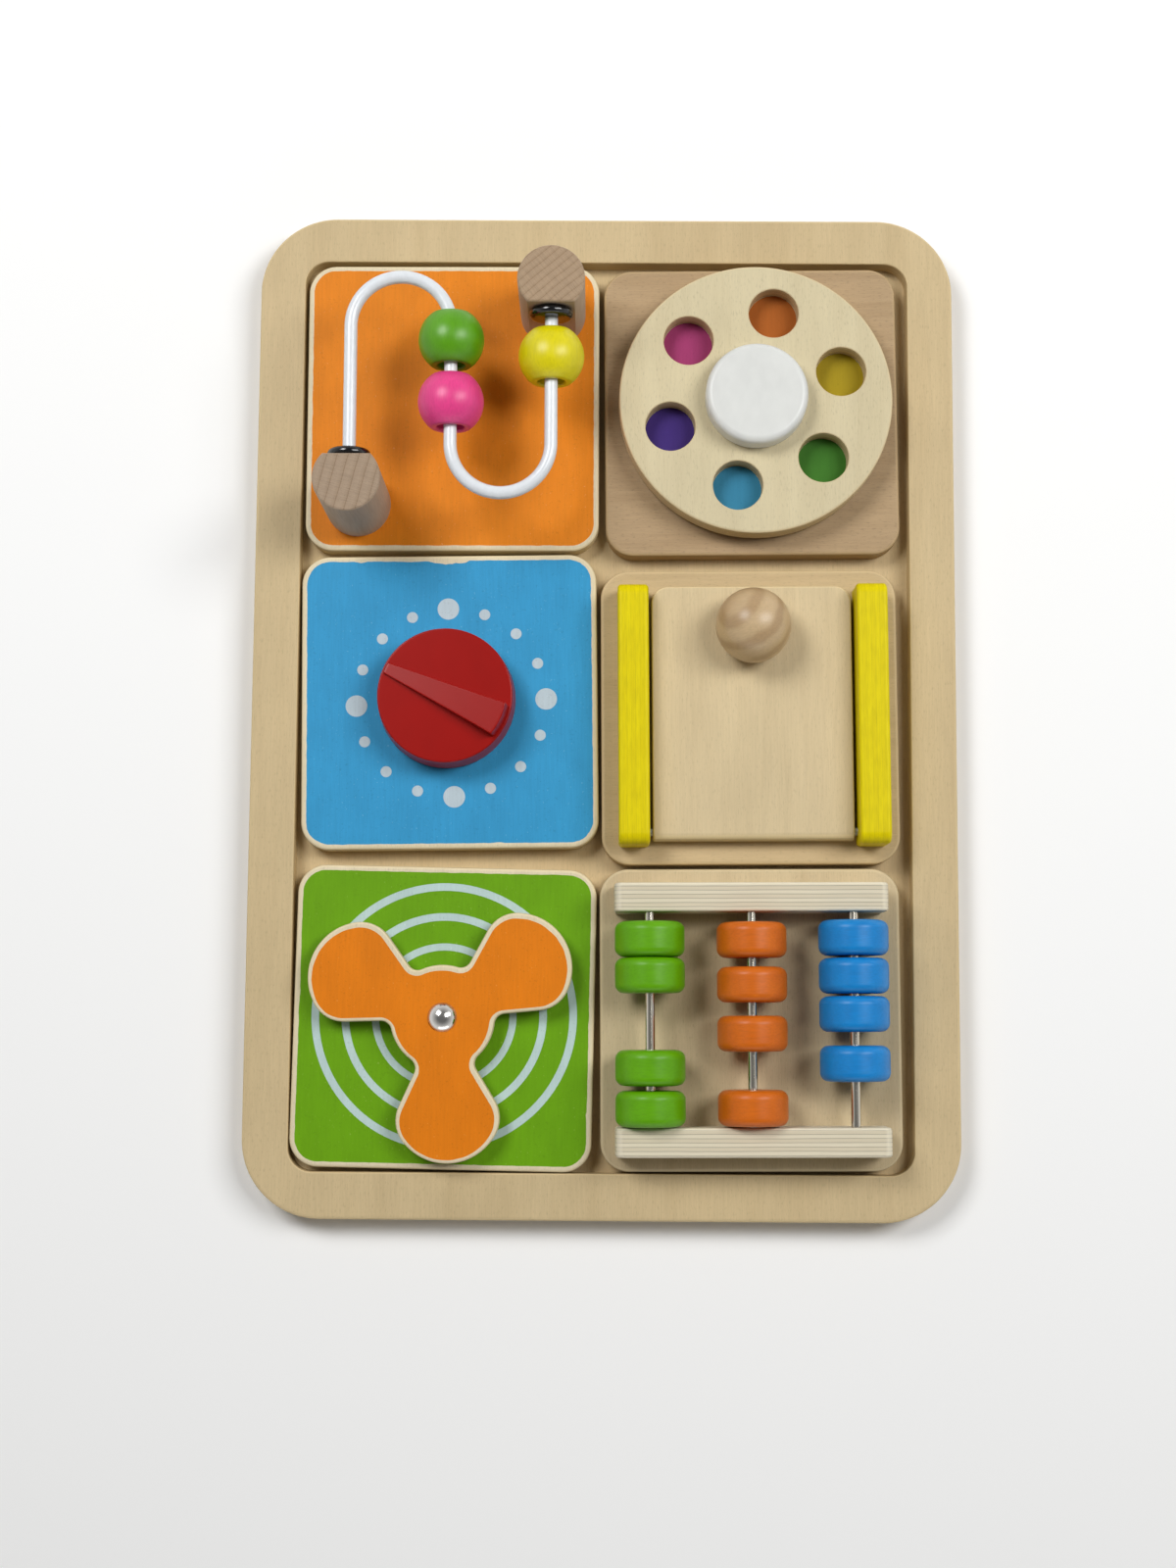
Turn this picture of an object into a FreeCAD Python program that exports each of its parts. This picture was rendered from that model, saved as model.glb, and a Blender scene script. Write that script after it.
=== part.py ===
import FreeCAD, Part
import math
import os
import re
import Sketcher
from FreeCAD import Placement, Rotation, Vector

# A wooden busy board: a framed tray that holds six loose square modules.
# Millimetres, +Z up, origin under the middle of the tray, +Y towards the bead maze.
# Each module's pieces are placed from the middle of its own tile, on the tray's floor.

doc = FreeCAD.newDocument("busy_board")
sheet = doc.addObject("Spreadsheet::Sheet", "sizes")

sizes = {
    # Tiles and the tray round them
    "tile_size": 126,
    "tile_corner": 12,
    "tile_thick": 10,
    "tile_edge": 1.6,
    "column_gap": 3,
    "row_gap": 3.25,
    "rim_width": 19.5,
    "rim_height": 9,
    "tray_corner": 33,
    "tray_edge": 1.5,
    "recess_corner": 10,
    "recess_edge": 0.8,
    "base_thick": 5,
    # How each loose module lies in the tray: off its grid place, and turned
    "maze_shift_x": -1.2,
    "maze_shift_y": 1.25,
    "maze_turn": 0.2,
    "disc_shift_x": -1.7,
    "disc_shift_y": 0.05,
    "disc_turn": 0.7,
    "dial_shift_x": -1.1,
    "dial_shift_y": 2.4,
    "dial_turn": 0.9,
    "door_shift_x": -2.5,
    "door_shift_y": -3.4,
    "door_turn": 0.6,
    "spinner_shift_x": -1.7,
    "spinner_shift_y": -2.05,
    "spinner_turn": -0.9,
    "abacus_shift_x": -2.3,
    "abacus_shift_y": -1.95,
    "abacus_turn": 0.5,
    # Clearances: fixed pieces in their holes, turning pieces, and pieces that face each other
    "fit_gap": 0.05,
    "running_gap": 0.08,
    "face_gap": 0.1,
    # Countersunk screws from under a tile
    "screw_shank": 3.6,
    "screw_head": 7,
    "screw_head_height": 2.2,
    "screw_sink": 0.5,
    "screw_length": 24,
    "screw_tip": 2,
    # Bead maze
    "post_diameter": 28,
    "post_height": 48,
    "post_flat": 10,
    "post_edge": 0.7,
    "post_reach": 42,
    "leg_spacing": 41.7,
    "bend_place": 25,
    "wire_diameter": 5.4,
    "wire_height": 37,
    "wire_grip": 8,
    "maze_offset_x": 1.3,
    "maze_offset_y": -0.8,
    "collar_diameter": 18,
    "collar_thick": 4,
    "collar_round": 1.7,
    "maze_bead": 27.4,
    "maze_bead_length": 22,
    "maze_bead_bore": 11.5,
    "maze_bead_round": 0.9,
    "bead_hang_gap": 0.3,
    "green_place": 19.6,
    "pink_place": -6.8,
    "yellow_place": 12.6,
    # Colour disc
    "disc_diameter": 116.4,
    "disc_thick": 11,
    "disc_edge": 1.2,
    "disc_offset_x": 1.2,
    "disc_offset_y": 2,
    "pocket_diameter": 21.3,
    "pocket_depth": 9,
    "pocket_ring": 38.3,
    "pocket_angle": 17.8,
    "washer_thick": 1.5,
    "washer_diameter": 20,
    "axle_diameter": 8,
    "axle_head": 16,
    "axle_head_height": 2.5,
    "axle_grip": 8,
    "cap_diameter": 43.4,
    "cap_height": 10.2,
    "cap_edge": 3,
    # Dial
    "dial_foot_diameter": 58.4,
    "dial_top_diameter": 56.8,
    "dial_height": 14,
    "dial_edge": 0.6,
    "dial_wall": 2.5,
    "dial_boss": 14,
    "dial_screw": 6,
    "dial_screw_head": 12,
    "dial_screw_head_height": 2.5,
    "dial_screw_reach": 9,
    "dial_washer_thick": 0.8,
    "dial_washer_diameter": 16,
    "dial_offset_x": -1,
    "dial_offset_y": 0.4,
    "grip_angle": -25.4,
    "grip_inset": 0.9,
    "grip_sink": 2,
    "grip_narrow": 4.9,
    "grip_wide": 14.5,
    "grip_low": 1,
    "grip_high": 6,
    # Door between its two rails
    "rail_width": 13,
    "rail_height": 18,
    "rail_length": 110,
    "rail_edge": 1.6,
    "rail_end_round": 5,
    "rail_place": -0.5,
    "door_offset_x": 0.65,
    "door_width": 84.4,
    "door_length": 107.9,
    "door_thick": 8,
    "door_lift": 0.6,
    "door_gap": 1.4,
    "door_corner": 7,
    "door_edge": 0.9,
    "hinge_round": 3.5,
    "pin_diameter": 3.6,
    "pin_grip": 9,
    "pin_inset": 6,
    "ball_diameter": 31.4,
    "ball_height": 27,
    "ball_inset": 18.7,
    "ball_screw_length": 20,
    # Propeller
    "blade_reach": 60,
    "blade_tip_radius": 23,
    "blade_shoulder_radius": 14,
    "blade_shoulder_back": 18,
    "blade_root": 1,
    "hub_radius": 21.7,
    "hub_fillet": 4.5,
    "spinner_angle": 34.6,
    "spinner_thick": 7,
    "spinner_edge": 1.2,
    "spacer_thick": 2.5,
    "spacer_diameter": 18,
    "rivet_diameter": 5,
    "rivet_dome": 12.2,
    "rivet_dome_height": 3.2,
    "rivet_tail": 9,
    "rivet_tail_height": 1.5,
    # Abacus
    "bar_length": 113,
    "bar_width": 12,
    "bar_height": 21,
    "bar_edge": 1.3,
    "bar_end_round": 4,
    "bar_opening": 88.2,
    "abacus_offset_x": -0.4,
    "rod_diameter": 4,
    "rod_inset": 14.5,
    "rod_height": 15.7,
    "rod_grip": 7,
    "bar_screw_place": 42,
    "bead_diameter": 28.8,
    "bead_length": 14.6,
    "bead_bore": 5,
    "bead_round": 4.2,
}

# The free spaces on each rod, from the upper bar down to the last bead
bead_gaps = {
    "green": (3.9, 0.3, 23.2, 2.0),
    "orange": (4.35, 3.75, 5.4, 15.65),
    "blue": (3.55, 1.0, 1.0, 5.6),
}
bead_words = ("one", "two", "three", "four")
for colour, gaps in bead_gaps.items():
    for word, gap in zip(bead_words, gaps):
        sizes[colour + "_gap_" + word] = gap

# Lengths that follow from the sizes above
derived = {
    "recess_width": "2 * tile_size + 3 * column_gap",
    "recess_length": "3 * tile_size + 4 * row_gap",
    "tray_width": "recess_width + 2 * rim_width",
    "tray_length": "recess_length + 2 * rim_width",
    "door_level": "tile_thick + door_lift",
    "hinge_place": "rail_place - rail_length / 2 + pin_inset",
    "hinge_level": "door_level + door_thick / 2",
    "ball_place": "hinge_place - door_thick / 2 + door_length - ball_inset",
    "disc_level": "tile_thick + washer_thick + face_gap",
    "dial_level": "tile_thick + dial_washer_thick + face_gap",
    "spinner_level": "tile_thick + spacer_thick + face_gap",
    "rail_spread": "door_width / 2 + door_gap + rail_width / 2",
    "bar_place": "(bar_opening + bar_width) / 2",
    "rod_spacing": "bar_length / 2 - rod_inset",
    "bead_drop": "(maze_bead_bore - wire_diameter) / 2 - bead_hang_gap",
    "blade_shoulder_place": "blade_reach - blade_shoulder_back",
    "sink_slope": "(screw_head - screw_shank) / (2 * screw_head_height)",
}

columns = {"left": -1, "right": 1}
rows = {"top": 1, "middle": 0, "bottom": -1}
modules = {
    "maze": ("left", "top"),
    "disc": ("right", "top"),
    "dial": ("left", "middle"),
    "door": ("right", "middle"),
    "spinner": ("left", "bottom"),
    "abacus": ("right", "bottom"),
}

turns = {
    "x": Rotation(Vector(0, 1, 0), 90),
    "y": Rotation(Vector(1, 0, 0), -90),
    "z": Rotation(),
}
pieces = []


for row, (alias, number) in enumerate(sizes.items(), 1):
    sheet.set("A" + str(row), alias.replace("_", " "))
    sheet.set("B" + str(row), str(number))
    sheet.setAlias("B" + str(row), alias)
doc.recompute()


def formula(words):
    # Turns plain size names into references to the sheet's cells
    def refer(found):
        name = found.group()
        if name in derived:
            return "(" + formula(derived[name]) + ")"
        if name in sizes:
            return "sizes." + name
        return name
    return re.sub(r"[a-z][a-z_]*", refer, words)


def value(words):
    return float(sheet.evalExpression(formula(words)))


def bind(item, **links):
    for name, words in links.items():
        item.setExpression(name, formula(words))


def place(item, x="0", y="0", z="0", axis="z"):
    # Puts a shape where the formulas say, with its height along the given axis
    item.Placement = Placement(Vector(0, 0, 0), turns[axis])
    for letter, words in (("x", x), ("y", y), ("z", z)):
        item.setExpression("Placement.Base." + letter, formula(words))


def seat(item, module, x="0", y="0", z="0"):
    # Lays a finished piece in its module, measured from the tile's middle and underside
    column, row = modules[module]
    turn = module + "_turn"
    middle_x = f"{columns[column]} * (tile_size + column_gap) / 2 + {module}_shift_x"
    middle_y = f"{rows[row]} * (tile_size + row_gap) + {module}_shift_y"
    base_x = f"{middle_x} + ({x}) * cos({turn}) - ({y}) * sin({turn})"
    base_y = f"{middle_y} + ({x}) * sin({turn}) + ({y}) * cos({turn})"
    item.setExpression("Placement.Base.x", formula(base_x))
    item.setExpression("Placement.Base.y", formula(base_y))
    item.setExpression("Placement.Base.z", formula("base_thick + " + z))
    item.setExpression("Placement.Rotation.Angle", formula(turn))


def new_body(label):
    body = doc.addObject("PartDesign::Body", label)
    body.Label = label
    pieces.append(body)
    return body


def feature(body, kind, x="0", y="0", z="0", axis="z", **links):
    item = body.newObject("PartDesign::" + kind, kind)
    bind(item, **links)
    place(item, x, y, z, axis)
    doc.recompute()
    return item


def dress(body, kind, chosen, size):
    # Rounds or chamfers the edges of the body that pass the test
    base = body.Tip
    names = [f"Edge{number}" for number, edge in enumerate(base.Shape.Edges, 1) if chosen(edge)]
    item = body.newObject("PartDesign::" + kind, kind)
    item.Base = (base, names)
    item.setExpression("Radius" if kind == "Fillet" else "Size", formula(size))
    doc.recompute()
    return item


def upright(edge):
    box = edge.BoundBox
    return box.ZLength > 0.1 and box.XLength < 0.01 and box.YLength < 0.01


def level(words):
    # Chooses the edges that lie at one height
    height = value(words)
    return lambda edge: abs(edge.BoundBox.ZMin - height) < 0.01 and abs(edge.BoundBox.ZMax - height) < 0.01


def levels(*words):
    tests = [level(one) for one in words]
    return lambda edge: any(test(edge) for test in tests)


def long_edges(letter, words):
    # Chooses the edges of a block's two long sides, but not its feet or its uprights
    half = value(words)
    low, length = letter.upper() + "Min", letter.upper() + "Length"
    return lambda edge: (abs(abs(getattr(edge.BoundBox, low)) - half) < 0.01
                         and getattr(edge.BoundBox, length) < 0.01
                         and edge.BoundBox.ZMax > 0.01 and not upright(edge))


def along(letter, words):
    # Chooses the edges that lie in one plane across x or y
    distance = value(words)
    low, high = letter.upper() + "Min", letter.upper() + "Max"
    return lambda edge: (abs(getattr(edge.BoundBox, low) - distance) < 0.01
                         and abs(getattr(edge.BoundBox, high) - distance) < 0.01)


def both(first, second):
    return lambda edge: first(edge) and second(edge)


def slab(body, length, width, height, z="0", kind="AdditiveBox"):
    # A block centred on the body's origin
    return feature(body, kind, f"-({length}) / 2", f"-({width}) / 2", z,
                   Length=length, Width=width, Height=height)


def bore(body, diameter, height, x="0", y="0", z="0", axis="z"):
    return feature(body, "SubtractiveCylinder", x, y, z, axis, Radius=f"({diameter}) / 2", Height=height)


def ring(label, outer, inner, thick):
    # A flat washer
    body = new_body(label)
    feature(body, "AdditiveCylinder", Radius=f"({outer}) / 2", Height=thick)
    bore(body, inner, thick)
    return body


def new_sketch(body, role, z="0", angle="0"):
    sketch = body.newObject("Sketcher::SketchObject", "Sketch")
    plane = [item for item in body.Origin.OriginFeatures if item.Role == role][0]
    sketch.AttachmentSupport = [(plane, "")]
    sketch.MapMode = "FlatFace"
    sketch.AttachmentOffset = Placement(Vector(0, 0, 0), Rotation(Vector(0, 0, 1), 0))
    sketch.setExpression("AttachmentOffset.Base.z", formula(z))
    sketch.setExpression("AttachmentOffset.Rotation.Angle", formula(angle))
    return sketch


def hold(sketch, kind, words, *places):
    # Adds a dimension to a sketch and ties it to the sheet
    number = sketch.addConstraint(Sketcher.Constraint(kind, *places, value(words)))
    name = f"{kind.lower()}_{number}"
    sketch.renameConstraint(number, name)
    sketch.setExpression("Constraints." + name, formula(words))


def pin_point(sketch, geometry, point, x, y):
    hold(sketch, "DistanceX", x, -1, 1, geometry, point)
    hold(sketch, "DistanceY", y, -1, 1, geometry, point)


def repeat(body, original, count):
    # Sets one feature evenly round the body's own upright axis
    pattern = body.newObject("PartDesign::PolarPattern", "pattern")
    pattern.Originals = [original]
    pattern.Axis = ([item for item in body.Origin.OriginFeatures if item.Role == "Z_Axis"][0], [""])
    pattern.Angle = 360
    pattern.Occurrences = count
    body.Tip = pattern
    doc.recompute()


def annular_cut(body, inner, outer, depth, z="0"):
    # Cuts a ring upwards from a level, between two radii
    sketch = new_sketch(body, "XY_Plane", z=z)
    for number, radius in enumerate((inner, outer)):
        sketch.addGeometry(Part.Circle(Vector(0, 0, 0), Vector(0, 0, 1), value(radius)), False)
        sketch.addConstraint(Sketcher.Constraint("Coincident", number, 3, -1, 1))
        hold(sketch, "Radius", radius, number)
    pocket = body.newObject("PartDesign::Pocket", "annular_cut")
    pocket.Profile = sketch
    pocket.Reversed = True
    bind(pocket, Length=depth)
    doc.recompute()


def tile(label, module):
    # One module's plywood tile, rounded at its corners and edges
    body = new_body(label)
    slab(body, "tile_size", "tile_size", "tile_thick")
    dress(body, "Fillet", upright, "tile_corner")
    dress(body, "Fillet", levels("0", "tile_thick"), "tile_edge")
    seat(body, module)
    return body


def screw_hole(body, x, y, z="0", thick="tile_thick"):
    # A countersunk hole through a board, open at its underside
    feature(body, "SubtractiveCone", x, y, z, Radius1="screw_head / 2 + fit_gap + screw_sink * sink_slope",
            Radius2="screw_shank / 2 + fit_gap", Height="screw_sink + screw_head_height")
    bore(body, "screw_shank + 2 * fit_gap", thick, x, y, z)


def screw(name, length, x="0", y="0"):
    # A countersunk wood screw that points up
    head = doc.addObject("Part::Cone", name + "_head")
    bind(head, Radius1="screw_head / 2", Radius2="screw_shank / 2", Height="screw_head_height")
    place(head, x, y, "screw_sink")
    shank = doc.addObject("Part::Cylinder", name + "_shank")
    bind(shank, Radius="screw_shank / 2", Height=f"{length} - screw_head_height - screw_tip")
    place(shank, x, y, "screw_sink + screw_head_height")
    tip = doc.addObject("Part::Cone", name + "_tip")
    bind(tip, Radius1="screw_shank / 2", Radius2="screw_shank / 8", Height="screw_tip")
    place(tip, x, y, f"screw_sink + {length} - screw_tip")
    whole = doc.addObject("Part::MultiFuse", name)
    whole.Shapes = [head, shank, tip]
    return whole


def screw_group(label, module, spots):
    # The module's alike screws, as separate solids in one piece
    group = doc.addObject("Part::Compound", label)
    group.Label = label
    group.Links = [screw(f"{label}_{number}", "screw_length", x, y) for number, (x, y) in enumerate(spots)]
    seat(group, module)
    pieces.append(group)


def screw_socket(body, x="0", y="0"):
    # The screw's hole in the wood that stands on the tile
    bore(body, "screw_shank + 2 * fit_gap", "screw_length + screw_sink - tile_thick + face_gap", x, y)


def make_tray():
    base = new_body("tray_base")
    slab(base, "tray_width", "tray_length", "base_thick")
    dress(base, "Fillet", upright, "tray_corner")
    dress(base, "Fillet", level("0"), "tray_edge")
    frame = new_body("tray_frame")
    slab(frame, "tray_width", "tray_length", "rim_height")
    dress(frame, "Fillet", upright, "tray_corner")
    dress(frame, "Fillet", level("rim_height"), "tray_edge")
    slab(frame, "recess_width", "recess_length", "rim_height", kind="SubtractiveBox")
    reach = value("recess_length / 2")
    dress(frame, "Fillet", lambda edge: upright(edge) and abs(abs(edge.BoundBox.YMin) - reach) < 0.01,
          "recess_corner")
    inside = value("recess_width / 2")
    dress(frame, "Fillet", lambda edge: level("rim_height")(edge) and abs(edge.BoundBox.XMin) < inside + 0.01
          and abs(edge.BoundBox.XMax) < inside + 0.01 and abs(edge.BoundBox.YMin) < reach + 0.01
          and abs(edge.BoundBox.YMax) < reach + 0.01, "recess_edge")
    frame.setExpression("Placement.Base.z", formula("base_thick"))


def make_post(label, side):
    # A dowel with a milled flat, where the wire's end goes in
    body = new_body(label)
    feature(body, "AdditiveCylinder", Radius="post_diameter / 2", Height="post_height")
    cut_y = "post_flat" if side < 0 else "-post_diameter / 2"
    feature(body, "SubtractiveBox", "-post_diameter / 2", cut_y, Length="post_diameter",
            Width="post_diameter / 2 - post_flat", Height="post_height")
    dress(body, "Chamfer", level("post_height"), "post_edge")
    start_y = "post_flat - wire_grip - face_gap" if side < 0 else "-post_flat"
    bore(body, "wire_diameter + 2 * fit_gap", "wire_grip + face_gap", "0", start_y, "wire_height", "y")
    screw_socket(body)
    seat(body, "maze", f"maze_offset_x + {side} * leg_spacing", f"maze_offset_y + {side} * post_reach",
         "tile_thick")


def make_wire():
    # One steel wire: three straight legs joined by two half-round bends
    body = new_body("maze_wire")
    end_y = "post_reach - post_flat + wire_grip"
    spots = [
        ("-leg_spacing", "-(" + end_y + ")"),
        ("-leg_spacing", "bend_place"),
        ("0", "bend_place"),
        ("0", "-bend_place"),
        ("leg_spacing", "-bend_place"),
        ("leg_spacing", end_y),
    ]
    points = [Vector(value(x), value(y), 0) for x, y in spots]
    path = new_sketch(body, "XY_Plane")
    bend = value("leg_spacing / 2")
    top = Vector(-bend, value("bend_place") + bend, 0)
    bottom = Vector(bend, -value("bend_place") - bend, 0)
    path.addGeometry([
        Part.LineSegment(points[0], points[1]),
        Part.Arc(points[1], top, points[2]),
        Part.LineSegment(points[2], points[3]),
        Part.Arc(points[3], bottom, points[4]),
        Part.LineSegment(points[4], points[5]),
    ], False)
    for geometry, (first, last) in zip((0, 2, 4), ((0, 1), (2, 3), (4, 5))):
        pin_point(path, geometry, 1, *spots[first])
        pin_point(path, geometry, 2, *spots[last])
    bends = ((1, "bend_place", ((0, 2, 2), (2, 1, 1))), (3, "-bend_place", ((2, 2, 1), (4, 1, 2))))
    for arc, centre_y, ends in bends:
        for line, line_end, arc_end in ends:
            path.addConstraint(Sketcher.Constraint("Coincident", line, line_end, arc, arc_end))
        hold(path, "DistanceY", centre_y, -1, 1, arc, 3)
    section = new_sketch(body, "XZ_Plane", z=end_y)
    centre = Vector(value("-leg_spacing"), 0, 0)
    section.addGeometry(Part.Circle(centre, Vector(0, 0, 1), value("wire_diameter / 2")), False)
    pin_point(section, 0, 3, "-leg_spacing", "0")
    hold(section, "Radius", "wire_diameter / 2", 0)
    sweep = body.newObject("PartDesign::AdditivePipe", "sweep")
    sweep.Profile = section
    sweep.Spine = (path, [f"Edge{number}" for number in range(1, 6)])
    doc.recompute()
    length = value("2 * (" + end_y + ") + 4 * bend_place + 3.14159265 * leg_spacing")
    ratio = body.Shape.Volume / (length * math.pi * value("wire_diameter / 2") ** 2)
    print(f"maze wire: {length:.1f} mm long, bends of {bend:.2f} mm, volume ratio {ratio:.4f}")
    seat(body, "maze", "maze_offset_x", "maze_offset_y", "tile_thick + wire_height")


def make_collar(label, side):
    # A glossy ring on the wire that stands against the post's flat
    body = new_body(label)
    start = "0" if side < 0 else "-collar_thick"
    feature(body, "AdditiveCylinder", "0", start, "0", "y",
            Radius="collar_diameter / 2", Height="collar_thick")
    dress(body, "Fillet", lambda edge: edge.BoundBox.YLength < 0.01, "collar_round")
    bore(body, "wire_diameter + 2 * fit_gap", "collar_thick", "0", start, "0", "y")
    seat(body, "maze", f"maze_offset_x + {side} * leg_spacing",
         f"maze_offset_y + {side} * (post_reach - post_flat)", "tile_thick + wire_height")


def make_maze_bead(label, leg, spot):
    body = new_body(label)
    reach = "asin(maze_bead_length / maze_bead)"
    ball = body.newObject("PartDesign::AdditiveSphere", "ball")
    bind(ball, Radius="maze_bead / 2", Angle1="-" + reach, Angle2=reach)
    place(ball, axis="y")
    doc.recompute()
    bore(body, "maze_bead_bore", "maze_bead_length + 2 * face_gap", "0", "-maze_bead_length / 2 - face_gap",
         "0", "y")
    dress(body, "Fillet", lambda edge: edge.BoundBox.XLength < value("maze_bead_bore") + 0.1
          and edge.BoundBox.YLength < 0.01, "maze_bead_round")
    # The bead hangs on the wire by the top of its wide bore
    seat(body, "maze", f"maze_offset_x + {leg} * leg_spacing", "maze_offset_y + " + spot,
         "tile_thick + wire_height - bead_drop")


def make_maze():
    board = tile("maze_board", "maze")
    spots = [(f"maze_offset_x + {side} * leg_spacing", f"maze_offset_y + {side} * post_reach")
             for side in (-1, 1)]
    for x, y in spots:
        screw_hole(board, x, y)
    screw_group("post_screws", "maze", spots)
    make_post("post_left", -1)
    make_post("post_right", 1)
    make_wire()
    make_collar("collar_left", -1)
    make_collar("collar_right", 1)
    make_maze_bead("bead_green", 0, "green_place")
    make_maze_bead("bead_pink", 0, "pink_place")
    make_maze_bead("bead_yellow", 1, "yellow_place")


def make_disc():
    board = tile("disc_board", "disc")
    bore(board, "axle_diameter + 2 * fit_gap", "axle_grip", "disc_offset_x", "disc_offset_y",
         "tile_thick - axle_grip")
    washer = ring("disc_washer", "washer_diameter", "axle_diameter + 2 * fit_gap", "washer_thick")
    seat(washer, "disc", "disc_offset_x", "disc_offset_y", "tile_thick")
    axle = new_body("disc_axle")
    shank = "axle_grip + washer_thick + 2 * face_gap + disc_thick - fit_gap"
    feature(axle, "AdditiveCylinder", Radius="axle_diameter / 2", Height=shank)
    feature(axle, "AdditiveCylinder", "0", "0", shank, Radius="axle_head / 2", Height="axle_head_height")
    seat(axle, "disc", "disc_offset_x", "disc_offset_y", "tile_thick - axle_grip + fit_gap")
    disc = new_body("colour_disc")
    feature(disc, "AdditiveCylinder", Radius="disc_diameter / 2", Height="disc_thick")
    dress(disc, "Fillet", levels("0", "disc_thick"), "disc_edge")
    bore(disc, "axle_diameter + 2 * running_gap", "disc_thick")
    first = bore(disc, "pocket_diameter", "pocket_depth", "pocket_ring * cos(pocket_angle)",
                 "pocket_ring * sin(pocket_angle)", "disc_thick - pocket_depth")
    repeat(disc, first, 6)
    seat(disc, "disc", "disc_offset_x", "disc_offset_y", "disc_level")
    cap = new_body("disc_cap")
    feature(cap, "AdditiveCylinder", Radius="cap_diameter / 2", Height="cap_height")
    dress(cap, "Fillet", level("cap_height"), "cap_edge")
    bore(cap, "axle_head + 6 * face_gap", "axle_head_height + 4 * face_gap")
    seat(cap, "disc", "disc_offset_x", "disc_offset_y", "disc_level + disc_thick")


def make_knob():
    # A wedge-shaped grip across a hollow knob, its ends following the knob's rim
    knob = new_body("dial_knob")
    ends = (("-dial_top_diameter / 2 - grip_sink", "grip_narrow", "grip_low"),
            ("dial_top_diameter / 2 + grip_sink", "grip_wide", "grip_high"))
    profiles = []
    for x, width, rise in ends:
        sketch = new_sketch(knob, "YZ_Plane", z=x)
        low = "dial_height - grip_sink"
        high = "dial_height + " + rise
        left, right = f"-{width} / 2", f"{width} / 2"
        corners = ((left, low), (right, low), (right, high), (left, high))
        points = [Vector(value(across), value(up), 0) for across, up in corners]
        for number in range(4):
            sketch.addGeometry(Part.LineSegment(points[number], points[(number + 1) % 4]), False)
        for number, (across, up) in enumerate(corners):
            pin_point(sketch, number, 1, across, up)
            sketch.addConstraint(Sketcher.Constraint("Coincident", number, 2, (number + 1) % 4, 1))
        profiles.append(sketch)
    grip = knob.newObject("PartDesign::AdditiveLoft", "grip")
    grip.Profile = profiles[0]
    grip.Sections = profiles[1:]
    grip.Ruled = True
    doc.recompute()
    annular_cut(knob, "dial_top_diameter / 2 - grip_inset", "dial_foot_diameter",
                "grip_high + 2 * grip_sink", "dial_height - grip_sink")
    feature(knob, "AdditiveCone", Radius1="dial_foot_diameter / 2", Radius2="dial_top_diameter / 2",
            Height="dial_height")
    top, across = level("dial_height"), value("dial_top_diameter")
    dress(knob, "Fillet", lambda edge: top(edge) and edge.BoundBox.XLength > across - 0.01, "dial_edge")
    annular_cut(knob, "dial_boss / 2", "dial_top_diameter / 2 - dial_wall", "dial_height - dial_wall")
    bore(knob, "dial_screw + 2 * fit_gap", "dial_screw_reach + face_gap")
    seat(knob, "dial", "dial_offset_x", "dial_offset_y", "dial_level")
    knob.setExpression("Placement.Rotation.Angle", formula("dial_turn + grip_angle"))


def make_dial():
    board = tile("dial_board", "dial")
    bore(board, "dial_screw + 2 * running_gap", "tile_thick", "dial_offset_x", "dial_offset_y")
    bore(board, "dial_screw_head + 2 * face_gap", "screw_sink + dial_screw_head_height + face_gap",
         "dial_offset_x", "dial_offset_y")
    washer = ring("dial_washer", "dial_washer_diameter", "dial_screw + 2 * running_gap", "dial_washer_thick")
    seat(washer, "dial", "dial_offset_x", "dial_offset_y", "tile_thick")
    axle = new_body("dial_axle")
    feature(axle, "AdditiveCylinder", Radius="dial_screw_head / 2", Height="dial_screw_head_height")
    feature(axle, "AdditiveCylinder", "0", "0", "dial_screw_head_height", Radius="dial_screw / 2",
            Height="dial_level + dial_screw_reach - screw_sink - dial_screw_head_height")
    seat(axle, "dial", "dial_offset_x", "dial_offset_y", "screw_sink")
    make_knob()


def make_rail(label, side):
    body = new_body(label)
    slab(body, "rail_width", "rail_length", "rail_height")
    top = level("rail_height")
    dress(body, "Fillet", lambda edge: top(edge) and edge.BoundBox.YLength < 0.01, "rail_end_round")
    dress(body, "Fillet", long_edges("x", "rail_width / 2"), "rail_edge")
    hole_start = "rail_width / 2 - pin_grip - face_gap" if side < 0 else "-rail_width / 2"
    bore(body, "pin_diameter + 2 * fit_gap", "pin_grip + face_gap", hole_start, "hinge_place - rail_place",
         "hinge_level - tile_thick", "x")
    for sign in (-1, 1):
        screw_socket(body, "0", f"{sign} * rail_length / 4")
    seat(body, "door", f"door_offset_x + {side} * rail_spread", "rail_place", "tile_thick")


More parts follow.
